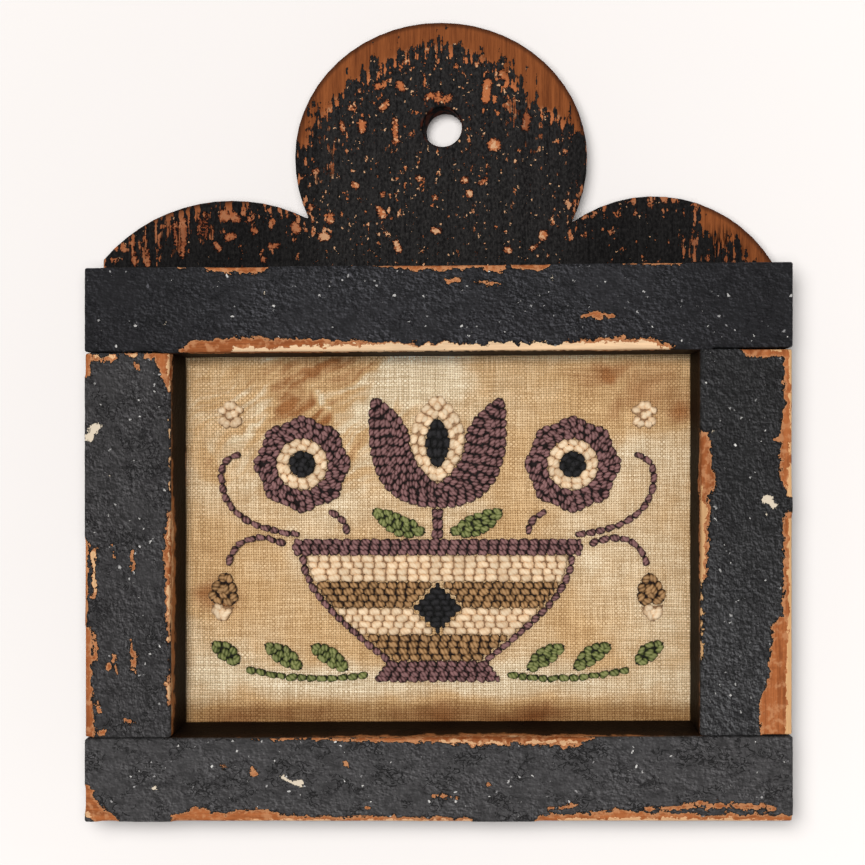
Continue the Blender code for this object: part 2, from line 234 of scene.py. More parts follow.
def makePebbles():  # the small rounded lumps of thick brushed paint, with a few curled creases; their Tone is painted light and shade
    inputs = {"Coordinates": (0, 0, 0), "Size": 1.2, "Amount": 0.5, "Creases": 0.4}
    group, given, result = newGroup("pebbledPaint", inputs, ["Tone", "Height", "Clusters"])
    place = given["Coordinates"]
    scale = calc("DIVIDE", 1.0, given["Size"])
    coarse = calc("MULTIPLY", scale, 1.5)
    here = cloudy(place, coarse, 2.5, 0.62)
    # painted light and shade: the height here less the height a little up and to the right, so each lump is
    # painted lit on its upper right and shaded on its lower left
    there = cloudy(vectorMath("ADD", place, (0.27, 0.0, 0.27)), coarse, 2.5, 0.62)
    paintedShading = calc("MULTIPLY", calc("SUBTRACT", here, there), 8.0)
    paintedShading = calc("MAXIMUM", calc("MINIMUM", paintedShading, 1.0), -1.0)
    # painted glints where the fine noise is high, painted dark pits of shade where it is low
    fine = cloudy(place, calc("MULTIPLY", scale, 2.6), 2.0, 0.6)
    paintedShading = calc("ADD", paintedShading, step(fine, 0.58, 0.72, 0.0, 0.7))
    paintedShading = calc("SUBTRACT", paintedShading, step(fine, 0.30, 0.44, 1.0, 0.0))
    # creases: dents in the height, and lines painted dark as shade in the tone
    curls = cloudy(place, scale, 1.5, 0.5, 0.9)
    crease = step(calc("ABSOLUTE", calc("SUBTRACT", curls, 0.5)), 0.0, 0.045, 1.3, 0.0)
    some = step(cloudy(place, 0.11, 3.0, 0.6), 0.48, 0.62)
    crease = calc("MULTIPLY", crease, calc("MULTIPLY", some, given["Creases"]))
    patches = cloudy(place, 0.07, 3.0, 0.55)
    level = calc("SUBTRACT", 0.72, calc("MULTIPLY", given["Amount"], 0.5))
    strength = step(calc("SUBTRACT", patches, level), -0.14, 0.12, 0.5, 1.0)
    plug(result["Height"], calc("SUBTRACT", calc("MULTIPLY", here, strength), crease))
    tone = calc("SUBTRACT", calc("MULTIPLY", paintedShading, strength), crease)
    plug(result["Tone"], calc("MULTIPLY_ADD", tone, 0.5, 0.5))
    plug(result["Clusters"], step(cloudy(place, 0.13, 2.0, 0.6), 0.50, 0.60))
    return group


raggedEdge = makeRaggedEdge()
scatteredChips = makeScatteredChips()
woodGrain = makeWoodGrain()
pebbledPaint = makePebbles()
print("shared effects made")


# Mesh helpers, in mm unless a note says otherwise


def boxOf(node):  # its low and high corners
    return [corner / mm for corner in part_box(node)]


def lumps(points, size, seed, octaves=1):  # smooth random heights, about -1 to 1
    shift = Vector((seed * 7.31, seed * 3.17, seed * 5.73))
    scaled = points / size
    if octaves == 1:
        return np.array([noise.noise(Vector(p) + shift) for p in scaled])
    return np.array([noise.fractal(Vector(p) + shift, 1.0, 2.0, octaves) for p in scaled])


def softStep(value, low, high):
    share = np.clip((value - low) / (high - low), 0, 1)
    return share * share * (3 - 2 * share)


def store(mesh, name, values):  # keeps a value on each point for the material to read
    kind = "FLOAT_VECTOR" if np.ndim(values) == 2 else "FLOAT"
    key = "vector" if kind == "FLOAT_VECTOR" else "value"
    layer = mesh.attributes.new(name, kind, "POINT")
    layer.data.foreach_set(key, np.asarray(values, np.float32).ravel())


def addPiece(name, points, faces, material):  # points in metres
    mesh = bpy.data.meshes.new(name)
    mesh.from_pydata(points, [], faces)
    mesh.polygons.foreach_set("use_smooth", [True] * len(faces))
    mesh.materials.append(material)
    piece = bpy.data.objects.new(name, mesh)
    bpy.context.scene.collection.objects.link(piece)
    return piece


def finishPiece(piece, nodes, values):  # the values on its points are for the material
    for name, value in values.items():
        store(piece.data, name, value)
    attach(piece, "root")
    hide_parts(*nodes)


def weldedNode(node):
    surface = bmesh.new()
    surface.from_mesh(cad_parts[node].data)
    bmesh.ops.remove_doubles(surface, verts=surface.verts, dist=0.01 * mm)
    flat = math.radians(0.5)
    bmesh.ops.dissolve_limit(surface, angle_limit=flat, verts=surface.verts, edges=surface.edges)
    return surface


# Camera, light and stage

cameraPlan = {
    "place": (0.0111, -0.4103, -0.1126),
    "lens": 46.7,
    "shift": (-0.0468, 0.011),
}
lightPlan = {
    "aim": (0.0, -0.02, -0.11),
    "tint": (1.0, 0.985, 0.97),
    "object": {"place": (-0.62, -5.0, 0.68), "size": 1.15, "power": 155.0},
    "backdrop": {"place": (0.005, -0.44, -0.104), "size": 0.100, "power": 4.50},
    "backdropSide": {"place": (-0.032, -0.44, -0.074), "size": 0.100, "power": 3.62},
    "skyStrength": 0.42,
    "skySeen": (0.973, 0.930, 0.905, 1.0),
}
stagePlan = {
    "behindBoard": 16.0,  # mm of air between board and wall
    "wallFoot": -0.36,  # m, where the wall bends into the floor
    "bend": 0.12,
    "halfWidth": 2.4,
    "reach": 3.0,
    "wallTop": 2.0,
    "colour": (0.225, 0.2175, 0.2145, 1.0),
    "lampFoot": (-0.018, 0.0, -0.090),
    "lampAway": 0.465,
    "brightest": 3.5,
    "fade": (0.30, 0.55),  # m from the middle, where the stage turns into plain backdrop
}


def makeCamera(plan):
    camera = bpy.data.objects.new("camera", bpy.data.cameras.new("camera"))
    camera.location = plan["place"]
    camera.rotation_euler = (math.radians(90), 0, 0)
    camera.data.lens = plan["lens"]
    camera.data.shift_x, camera.data.shift_y = plan["shift"]
    camera.data.clip_start = 0.01
    bpy.context.scene.collection.objects.link(camera)
    bpy.context.scene.camera = camera


def makeLamp(name, plan, tint, aim, receivers):
    lamp = bpy.data.lights.new(name, "AREA")
    lamp.shape = "DISK"
    lamp.size = plan["size"]
    lamp.energy = plan["power"]
    lamp.color = tint
    holder = bpy.data.objects.new(name, lamp)
    holder.location = plan["place"]
    holder.rotation_euler = (Vector(aim) - Vector(plan["place"])).to_track_quat("-Z", "Y").to_euler()
    holder.light_linking.receiver_collection = receivers
    bpy.context.scene.collection.objects.link(holder)


def makeLight(plan, sweep):  # the backdrop has lamps of its own, so that its shadow is close and soft
    for name, state in (("object", "EXCLUDE"), ("backdrop", "INCLUDE"), ("backdropSide", "INCLUDE")):
        receivers = bpy.data.collections.new(name + "Light")
        receivers.objects.link(sweep)
        receivers.collection_objects[0].light_linking.link_state = state
        place = plan[name]["place"]
        aim = plan["aim"] if name == "object" else (place[0], 0.0, place[2])
        makeLamp(name + "Light", plan[name], plan["tint"], aim, receivers)
    world = bpy.data.worlds.new("softRoom")
    world.use_nodes = True
    tree = world.node_tree
    seen = addNode(tree, "LightPath").outputs["Is Camera Ray"]
    sky = tree.nodes["Background"]
    plug(sky.inputs["Color"], mixed(seen, (*plan["tint"], 1.0), plan["skySeen"]))
    plug(sky.inputs["Strength"], step(seen, 0.0, 1.0, plan["skyStrength"], 1.0))
    bpy.context.scene.world = world
    bpy.context.scene.view_settings.view_transform = "Standard"


def sweepFinish(plan):  # undoes the near lamps' fall-off and turns into plain backdrop far out
    material, tree, shader = newMaterial("paleSweep")
    place = addNode(tree, "TexCoord").outputs["Object"]
    spread = addNode(tree, "VectorMath", {0: place, 1: plan["lampFoot"]}, operation="DISTANCE")
    spread = spread.outputs["Value"]
    far = step(spread, *plan["fade"])
    spread = calc("POWER", calc("DIVIDE", spread, plan["lampAway"]), 2.0)
    evened = calc("POWER", calc("ADD", spread, 1.0), 2.0)
    evened = calc("MINIMUM", evened, plan["brightest"])
    evened = calc("MULTIPLY", evened, calc("SUBTRACT", 1.0, far))
    values = {
        "Base Color": shaded(plan["colour"], evened),
        "Emission Color": lightPlan["skySeen"],
        "Emission Strength": far,
        "Roughness": 0.95,
        "Specular IOR Level": 0.0,
    }
    dress(shader, values)
    clear = addNode(tree, "BsdfTransparent").outputs[0]
    behind = addNode(tree, "NewGeometry").outputs["Backfacing"]
    seen = addNode(tree, "MixShader", {0: behind, 1: shader.outputs[0], 2: clear}).outputs[0]
    plug(tree.nodes["Material Output"].inputs["Surface"], seen)
    return material


def makeStage(plan):
    profile = [(plan["behindBoard"] * mm, plan["wallTop"])]
    for i in range(13):
        angle = math.radians(90 * i / 12)
        away = plan["bend"] * (1 - math.cos(angle))
        drop = plan["bend"] * math.sin(angle)
        profile.append((plan["behindBoard"] * mm - away, plan["wallFoot"] - drop))
    profile.append((-plan["reach"], plan["wallFoot"] - plan["bend"]))
    points = []
    for side in (-plan["halfWidth"], plan["halfWidth"]):
        points += [(side, y, z) for y, z in profile]
    count = len(profile)
    faces = [(i, i + 1, i + count + 1, i + count) for i in range(count - 1)]
    sweep = addPiece("paleSweep", points, faces, sweepFinish(plan))
    sweep.visible_shadow = False
    sweep.visible_diffuse = False
    return sweep


makeCamera(cameraPlan)
makeLight(lightPlan, makeStage(stagePlan))
print("camera, light and stage made")


# Wood: each board is its CAD solid cut into a fine grid, then worn

# Worn places, in mm: lines of (x, z, half width) on the frame's front face
wornPlaces = {
    "rail_top": {
        "wear": [
            [(-78, -53, 1.4), (-70, -52.5, 2.8), (-60.5, -53, 2.4)],
            [(-89.5, -53.2, 0.3), (-86.5, -53.2, 0.5)],
            [(-22.5, -52.2, 0.7), (-13.5, -52.2, 1.5), (0, -52.5, 1.7), (14, -52.2, 1.1)],
            [(16.5, -52.5, 2.2), (20, -52.5, 2.4)],
            [(25, -52.1, 1.3), (35.5, -52.1, 1.8)],
            [(62.5, -51.5, 0.6), (81, -51.5, 1.0)],
            [(-88.5, -81.5, 0.4), (-84, -81, 3.0), (-68, -80.5, 3.6), (-45, -80.5, 2.8)],
            [(-45, -80.5, 2.8), (-23.5, -80.5, 1.9), (13.5, -80.5, 1.5), (40.5, -80.5, 1.7)],
            [(40.5, -80.5, 1.7), (57.5, -80, 3.0), (71.5, -80, 2.6), (80, -80, 0.4)],
            [(2, -57.5, 0.5), (6.5, -57.5, 0.7)],
            [(11.5, -58.5, 0.1), (17, -58.5, 0.3), (21.5, -59, 0.1)],
            [(49, -69.5, 0.4), (54.5, -69.5, 1.0), (59.5, -69.5, 0.4)],
        ],
        "raw": [
            [(-69.5, -81.5, 1.0), (-23.5, -81, 1.6), (40.5, -80.5, 1.6)],
            [(40.5, -80.5, 1.6), (68, -80.5, 2.4), (79, -80.5, 0.4)],
        ],
        "cream": [[(-93, -73, 0.5)], [(38, -57, 0.6)], [(-60, -62, 0.5)]],
    },
    "rail_bottom": {
        "wear": [
            [(-64, -213, 0.4), (-40.5, -212.5, 1.0), (-32.5, -212.5, 1.6), (0, -212.5, 2.0)],
            [(0, -212.5, 2.4), (12, -212.5, 3.0), (21.5, -212.5, 3.0)],
            [(23, -212.5, 1.6), (29.5, -213, 2.6), (46, -213.5, 2.6), (52.5, -212.5, 0.4)],
            [(-89, -241.5, 2.4), (-83, -240.5, 3.4), (-76.5, -241, 3.0), (-73, -241.5, 2.2)],
            [(-70, -241.5, 3.4), (-62, -241, 3.8), (-57, -241.5, 3.0), (-51, -241.5, 1.8)],
            [(-51, -241.5, 1.6), (-20.5, -241.5, 1.8), (10, -241.5, 1.2)],
            [(-25, -236.5, 0.5)], [(-2, -233, 0.4), (6, -233, 0.5)], [(16, -229, 0.7)],
            [(35, -241.5, 2.4), (51, -241.5, 2.8), (60.5, -241.5, 4.4), (71.5, -241.5, 2.8)],
            [(71.5, -241.5, 2.8), (119.5, -241.5, 2.4)],
            [(36.5, -237, 0.6), (45.5, -235.5, 0.6)],
            [(70.5, -237, 0.6), (88.5, -236, 1.0), (113, -236.5, 0.6)],
            [(-120.5, -231, 2.0), (-120, -235, 2.4)],
            [(-118.5, -237, 2.8), (-112, -241.5, 2.4)],
            [(-74.5, -222.5, 1.0), (-73, -223, 0.7)],
            [(-64, -224.5, 0.8), (-62.5, -224.5, 0.8)],
            [(-32.4, -221, 0.3), (-31.6, -223.5, 0.5)],
        ],
        "raw": [
            [(-120, -240, 1.6)],
            [(-76.5, -241.8, 0.3), (-37.5, -242, 0.8), (10, -242, 0.8)],
            [(40.5, -241.5, 0.7), (88.5, -241.5, 1.0), (119.5, -242, 0.7)],
            [(0, -214.4, 0.3), (21.5, -214.6, 0.5)],
            [(29.5, -214.6, 0.4), (46, -214.6, 0.4)],
        ],
        "cream": [[(-53, -227, 0.7), (-51, -228.5, 0.6), (-47, -228.5, 0.7)], [(-97, -230, 1.0)]],
    },
    "stile_left": {
        "wear": [
            [(-100, -83, 1.0), (-92.5, -82.5, 2.0)],
            [(-93.5, -82.5, 4.0), (-92.5, -89, 3.0), (-92, -95, 0.6)],
            [(-117, -83.5, 1.0), (-117, -84.5, 1.0)],
            [(-114, -84.5, 1.0), (-111, -83.5, 1.4)],
            [(-106.5, -82.5, 1.0), (-104.5, -82, 1.0)],
            [(-103, -86.5, 1.4)],
            [(-120.5, -83.5, 2.0), (-120.5, -89, 1.6)],
            [(-91.5, -104.5, 0.3), (-91.3, -129.5, 0.6)],
            [(-91.5, -137, 1.4), (-91.5, -151.5, 2.4), (-91.5, -166.5, 1.6), (-91.5, -180, 1.0)],
            [(-91.5, -186, 0.6), (-91.5, -193.5, 0.6)],
            [(-91.5, -194.5, 1.4), (-91.5, -201, 1.4)],
            [(-121, -146.5, 1.4), (-121, -158.5, 1.4), (-121, -176.5, 0.9)],
            [(-121, -176.5, 2.4), (-121, -193.5, 3.0), (-121, -212.5, 3.4)],
            [(-117.5, -149, 0.6), (-117.5, -165.5, 0.6)],
            [(-111, -147.5, 0.4), (-111, -152, 0.5)],
            [(-104.5, -149.5, 0.4), (-104.5, -155.5, 0.7)],
            [(-117.5, -177.5, 0.6), (-117.5, -186, 0.7)],
            [(-104.5, -180, 0.4), (-104, -187, 0.8), (-104, -191, 0.4)],
            [(-111, -185, 0.5), (-110.5, -190, 0.6)],
            [(-113, -189, 1.0)],
            [(-116, -199.5, 0.4), (-116, -204, 0.6)],
            [(-107.5, -207, 0.6), (-104.5, -208, 0.7)],
            [(-115, -211, 1.0)],
        ],
        "raw": [
            [(-91.6, -83, 0.7), (-91.6, -94, 0.7)],
            [(-91.5, -104.5, 0.3), (-91.2, -129.5, 0.5)],
            [(-91.5, -137, 0.8), (-91.3, -180, 0.8)],
            [(-91.5, -194.5, 1.0), (-91.5, -200, 1.0)],
            [(-117.5, -150, 0.4), (-117.5, -163, 0.4)],
            [(-98.5, -99, 0.3), (-98.5, -103.5, 0.5)],
            [(-117, -83, 0.5), (-111, -83.2, 0.5)],
            [(-106, -82.5, 0.4), (-104.5, -82.5, 0.4)],
        ],
        "cream": [[(-119.3, -111.3, 1.3), (-117, -107.7, 1.6)], [(-112, -124, 0.4)]],
    },
    "stile_right": {
        "wear": [
            [(104.5, -80.5, 2.6), (112, -80.5, 3.0), (119.5, -80.5, 3.8)],
            [(119.8, -81.5, 3.2), (119.8, -102.5, 3.0)],
            [(119.8, -102.5, 3.8), (119.8, -113.5, 4.2), (119.8, -124.5, 4.2)],
            [(114, -112, 1.0), (117, -112, 1.6)],
            [(119.8, -124.5, 3.4), (119.8, -129.5, 2.2)],
            [(119.8, -139, 3.0), (119.8, -174, 3.6)],
            [(119.8, -177.5, 6.8), (119.8, -183.5, 7.8), (119.8, -198.5, 8.0)],
            [(119.8, -200.5, 10.8), (119.8, -209, 11.4), (119.8, -212.5, 10.4)],
            [(89.5, -110, 1.6), (89.5, -113.5, 2.4)],
            [(88.7, -115.5, 2.8), (89, -122, 3.6), (89, -126, 5.0)],
            [(88.7, -127.5, 2.4), (88.7, -142.5, 2.6), (88.7, -158, 2.4)],
            [(88.5, -158.5, 0.7), (88.5, -187, 0.7)],
        ],
        "raw": [
            [(113, -80.5, 0.8), (119.8, -81, 0.9), (119.9, -118, 0.7), (119.8, -129.5, 2.0)],
            [(119.8, -139, 1.3), (119.8, -176, 1.5), (119.8, -186, 2.1), (119.8, -212.5, 2.4)],
            [(88.6, -127, 0.6), (88.6, -135, 1.5), (88.6, -158, 1.5), (88.6, -187, 0.6)],
        ],
        "cream": [[(111, -132.5, 1.5), (113, -134, 1.2)], [(92.5, -109, 0.5)], [(110.5, -137, 0.6)]],
    },
}
# How deep the window's walls are worn from the front edge, as (place along the wall, mm)
wallLips = {
    "rail_top": [(-92, 1.0), (60, 1.0), (89, 0.6)],
    "rail_bottom": [(-92, 0.5), (-50, 0.8), (-36, 2.5), (-10, 3.5), (20, 4.5), (60, 2.6), (89, 0.8)],
    "stile_left": [(-213, 3.0), (-205, 4.5), (-140, 6.0), (-132, 4.0), (-118, 2.2), (-81, 1.4)],
    "stile_right": [(-213, 1.0), (-190, 1.6), (-130, 2.2), (-112, 2.0), (-104, 0.6), (-81, 0.6)],
}
# How far those walls stand from the solid's, in mm along x or z, at their front edge and at the cloth
wallLeans = {
    "rail_top": (-0.6, -0.9),
    "rail_bottom": (0.0, 1.5),
    "stile_left": (0.0, 1.0),
    "stile_right": (-0.35, -0.6),
}
# Sanded rim of the crest: how far the paint is rubbed back, by direction round the lobe and by x
crestRub = {
    "centre": (-0.3, -10.7),
    "directions": (-10, 2, 8, 22, 30, 45, 68, 84, 98, 116, 143, 160, 176, 184, 192),
    "widths": (-30, -10, 0, 4.5, 11, 9, 7.5, 6, 5.5, 6.5, 6.5, 4, 0, -8, -30),
    "shoulderX": (-121, -112, -100, -88, -72, -64, -54, 52, 78, 89, 94, 99, 108, 118.6),
    "shoulderWidths": (-8, -3.5, -1.5, -1, -1.5, -4, -30, -30, -22, -10, 3.5, 7.5, 6, 3),
}
# Where long vertical streaks of undercoat show, as (x, z, reach)
crestStreaks = [
    [(-107, -46, 2), (-98, -42, 5), (-84, -36, 4)],
    [(88, -42, 3), (100, -44, 6)],
    [(-40, -4, 4), (-42, -18, 2)],
    [(28, 4, 4), (32, -6, 2)],
]
# Where the crest is chipped most
crestChipped = [
    [(-24, 8, 18), (14, 12, 18)],
    [(-34, -22, 8), (-12, -34, 9)],
]
# Its larger chips, as (x, z, half width)
crestChips = [
    [(-42.8, -39.2, 1.2), (-41.2, -39.4, 1.2)],
    [(-52.4, -35.8, 1.2), (-51.8, -36.6, 1.4)],
    [(-39.6, -32, 0.8), (-39.8, -33.6, 0.9)],
    [(-46.8, -29, 0.9)],
    [(-31, -21, 1.0)],
    [(-45, -16, 0.9)],
    [(-28.6, 0.8, 1.2), (-28.4, -1.4, 0.8)],
    [(-35.8, 0.8, 0.5), (-35.2, -1.4, 0.6)],
    [(-32.4, 6.6, 0.8)],
    [(-21.2, 6.6, 1.0), (-19.6, 8.2, 0.7)],
    [(-15.2, 14.8, 0.9), (-14.2, 13.6, 0.9)],
    [(-22.9, 14.2, 0.9)],
    [(-16.8, 2.4, 0.5), (-16.6, -5.6, 0.5)],
    [(-8.2, -18.6, 0.9)],
    [(-21, -24, 0.6)],
    [(-22.4, -29.6, 0.7), (-21.2, -31.6, 1.0)],
    [(-16.2, -41.6, 0.7), (-15.6, -43.6, 1.0)],
    [(-2.8, -37.2, 0.9), (-1.2, -37.2, 0.7)],
    [(-2.6, -25.4, 0.7)],
    [(9.9, -24, 1.0)],
    [(8.2, -19.2, 1.0)],
    [(13.8, -20.2, 0.4), (15.6, -19, 0.5)],
    [(18.6, -6.6, 2.0)],
    [(16.4, 15.6, 1.1), (15.4, 9.6, 1.1)],
    [(21.6, 18.6, 1.3), (23, 17.4, 0.9)],
    [(30.4, 3.6, 0.9), (29.6, -0.4, 0.9)],
    [(36.2, -38.8, 1.4)],
    [(23.6, -44, 1.1)],
    [(32.4, -43.4, 0.6), (33.6, -42.6, 0.4)],
    [(-5.6, 9.8, 0.4), (-3.6, 11.2, 0.9)],
    [(-1.4, 9.6, 0.9), (-0.8, 11.8, 0.5)],
    [(1.8, 9.6, 0.7), (3.2, 10.8, 0.3)],
    [(-77.8, -31.8, 1.6), (-76.6, -32.6, 1.2)],
    [(-74, -32.8, 0.9), (-72.6, -33, 0.7)],
    [(-68.6, -33.4, 0.8)],
    [(-76.2, -39.8, 1.0), (-74.6, -39.2, 0.9)],
    [(-66.9, -37.4, 0.9)],
    [(-80.6, -41.8, 0.6), (-79.6, -43.6, 0.7)],
    [(-61.2, -42.8, 0.7), (-58.6, -42.4, 0.4)],
    [(-63.8, -47.4, 0.8)],
    [(-110, -42.8, 0.1), (-109.8, -49, 0.6)],
    [(-105.2, -43.6, 0.1), (-105, -49, 0.8)],
    [(-95.4, -34.4, 0.1), (-95, -42, 0.1)],
    [(-92.4, -33.6, 0.8), (-92, -39, 0.8), (-92.6, -46.4, 0.2)],
    [(-86.6, -31.8, 0.1), (-86.6, -38, 0.1)],
    [(-84.2, -31, 0.1), (-84.4, -40, 0.2)],
]
woodPlan = {
    "cell": 0.6,  # mm between cuts across a rail's face
    "depthCell": 1.0,
    "boardCell": 0.95,
    "boardHiddenCell": 6.0,
    "cornerPasses": 7,
    "wobble": 0.07,
    "pebble": 0.045,
    "chipDepth": 0.22,
    "slant": 1.4,  # mm that the hole leans towards the right, going in
    "boreReach": 7.6,  # mm from the hole's middle to where the looks of its wall end
}


def evenCuts(low, high, cell):
    count = max(1, round((high - low) / cell))
    return [low + (high - low) * i / count for i in range(1, count)]


def cutToGrid(surface, cuts):
    for axis, places in enumerate(cuts):
        square = Vector((0, 0, 0))
        square[axis] = 1
        for place in places:
            geometry = surface.verts[:] + surface.edges[:] + surface.faces[:]
            point = square * place * mm
            bmesh.ops.bisect_plane(surface, geom=geometry, dist=1e-6, plane_co=point, plane_no=square)


def sharpEdges(surface):  # points along the corners, each 1 mm
    found = []
    for edge in surface.edges:
        if len(edge.link_faces) == 2 and edge.calc_face_angle(0) > math.radians(25):
            start, end = (v.co / mm for v in edge.verts)
            count = max(1, round((end - start).length))
            found += [start.lerp(end, i / count) for i in range(count + 1)]
    return found


def nearestOf(points, targets):
    tree = kdtree.KDTree(len(targets))
    for i, target in enumerate(targets):
        tree.insert(target, i)
    tree.balance()
    found = [tree.find(p) for p in points]
    return np.array([f[2] for f in found]), np.array([f[1] for f in found])


def strokeDepth(points, strokes, wander=0.8, floor=-6.0):  # how deep inside a worn line each point is
    best = np.full(len(points), floor)
    points = points.copy()
    points[:, 0] += lumps(points, 3.2, 91, 2) * wander
    points[:, 2] += lumps(points, 3.2, 92, 2) * wander
    for stroke in strokes:
        line = stroke if len(stroke) > 1 else stroke * 2
        for (x0, z0, w0), (x1, z1, w1) in zip(line, line[1:]):
            start = np.array((x0, frontDepth, z0))
            run = np.array((x1 - x0, 0.0, z1 - z0))
            length = max(run @ run, 1e-9)
            share = np.clip((points - start) @ run / length, 0, 1)
            away = np.linalg.norm(points - start - share[:, None] * run, axis=1)
            best = np.maximum(best, w0 + (w1 - w0) * share - away)
    return best


def onFace(points):  # the points moved onto the plane of the frame's front
    return points * np.array((1, 0, 1)) + np.array((0, frontDepth, 0))


def drawIn(points, pairs, weight, passes):  # pulls corners towards their neighbours
    count = np.bincount(pairs.ravel(), minlength=len(points))[:, None]
    for _ in range(passes):
        total = np.zeros_like(points)
        for axis in range(3):
            total[:, axis] += np.bincount(pairs[:, 0], points[pairs[:, 1], axis], len(points))
            total[:, axis] += np.bincount(pairs[:, 1], points[pairs[:, 0], axis], len(points))
        points = points + (total / count - points) * weight[:, None] * 0.6
    return points


def rubbedRim(corner):  # depth of the sanded rim of the crest
    centre = crestRub["centre"]
    direction = np.degrees(np.arctan2(corner[:, 1] - centre[1], corner[:, 0] - centre[0])) % 360
    lobe = np.interp(direction, crestRub["directions"], crestRub["widths"])
    shoulder = np.interp(corner[:, 0], crestRub["shoulderX"], crestRub["shoulderWidths"])
    onLobe = (corner[:, 1] > -46) & (np.abs(corner[:, 0]) < 54)
    return np.where(onLobe, lobe, shoulder)


def cutBoard(node, cuts):  # the CAD solid in small faces, with its points, edges and corners
    surface = weldedNode(node)
    corners = sharpEdges(surface)
    cutToGrid(surface, cuts)
    mesh = bpy.data.meshes.new("worn_" + node)
    surface.to_mesh(mesh)
    surface.free()
    piece = bpy.data.objects.new("worn_" + node, mesh)
    bpy.context.scene.collection.objects.link(piece)
    flat = np.zeros(len(mesh.vertices) * 3)
    mesh.vertices.foreach_get("co", flat)
    pairs = np.zeros(len(mesh.edges) * 2, int)
    mesh.edges.foreach_get("vertices", pairs)
    return piece, flat.reshape(-1, 3) / mm, pairs.reshape(-1, 2), corners


def placePoints(piece, points):
    piece.data.vertices.foreach_set("co", (points * mm).ravel())
    piece.data.polygons.foreach_set("use_smooth", [True] * len(piece.data.polygons))
    piece.data.update()


def outwards(piece):
    normals = np.zeros(len(piece.data.vertices) * 3)
    piece.data.vertex_normals.foreach_get("vector", normals)
    return normals.reshape(-1, 3)


def wornEdgeChips(points, away, seed):  # random bites along the corners that the strokes leave alone
    return lumps(points, 9, seed) * 3.2 - 1.6 + lumps(points, 2.2, seed + 1) * 0.7 - away


def innerWall(points, corners):  # 1 on the window's walls, and 1 at their front edge with a soft end
    low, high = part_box("stile_left")[1].x / mm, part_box("stile_right")[0].x / mm
    foot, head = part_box("rail_bottom")[1].z / mm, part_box("rail_top")[0].z / mm

    def outside(x, z):
        return np.maximum(np.maximum(low - x, x - high), np.maximum(foot - z, z - head))

    edge = [c for c in corners if c.y < frontDepth + 1.0 and outside(c.x, c.z) < 2.8]
    away, _ = nearestOf(points, edge)
    onWall = 1 - softStep(outside(points[:, 0], points[:, 2]), 2.0, 2.8)
    return softStep(points[:, 1], frontDepth + 0.9, frontDepth + 1.6) * onWall, 1 - softStep(away, 0.3, 2.5)


def leanWall(points, inner, near, node):  # the window is a little smaller at the cloth than at the front
    deep = np.clip((points[:, 1] - frontDepth - 2) / 14, 0, 1)
    front, back = wallLeans[node]
    axis = 0 if node.startswith("stile") else 2
    points[:, axis] += np.maximum(inner, near) * front + inner * deep * (back - front)


def lipOf(points, node):  # how far inside the worn front part of the window's wall each point is
    along = points[:, 2] if node.startswith("stile") else points[:, 0]
    places = [place for place, _ in wallLips[node]]
    reach = np.interp(along, places, [reach for _, reach in wallLips[node]])
    return reach + lumps(points, 6, 44, 3) * 1.6 - (points[:, 1] - frontDepth)


def finishWood(piece, finish, node, values):
    piece.data.materials.append(finish)
    finishPiece(piece, [node], values)
    print("worn", node, len(piece.data.polygons), "faces")


def makeRail(node, finish, seed):
    plan = woodPlan
    low, high = boxOf(node)
    cells = (plan["cell"], plan["depthCell"], plan["cell"])
    cuts = [evenCuts(low[axis], high[axis], cell) for axis, cell in enumerate(cells)]
    piece, points, pairs, corners = cutBoard(node, cuts)
    away, _ = nearestOf(points, corners)
    values = {name: strokeDepth(points, strokes) for name, strokes in wornPlaces[node].items()}
    behind = softStep(points[:, 1], frontDepth + 1.0, frontDepth + 5.0)
    bites = wornEdgeChips(points, away, seed) - (1 - behind) * 4
    wear = values["wear"] = np.maximum(values["wear"], np.where(behind > 0, bites, -6))
    bare = softStep(np.maximum(wear, values["cream"]), -0.4, 0.6)
    inner, near = innerWall(points, corners)
    values["inner"], values["lip"] = inner, lipOf(points, node)
    weight = 0.12 + 0.88 * softStep(wear, -0.5, 2.0)
    weight *= 1 - softStep(points[:, 1], high.y - 5.0, high.y - 2.5)  # edges against the cloth stay crisp
    points = drawIn(points, pairs, weight, plan["cornerPasses"])
    placePoints(piece, points)
    rise = lumps(points, 7, seed + 2) * plan["wobble"]
    rise += lumps(points, 1.3, seed + 3) * plan["pebble"] * (1 - bare)
    points = points + outwards(piece) * (rise - bare * plan["chipDepth"])[:, None]
    leanWall(points, inner, near, node)
    placePoints(piece, points)
    finishWood(piece, finish, node, values)


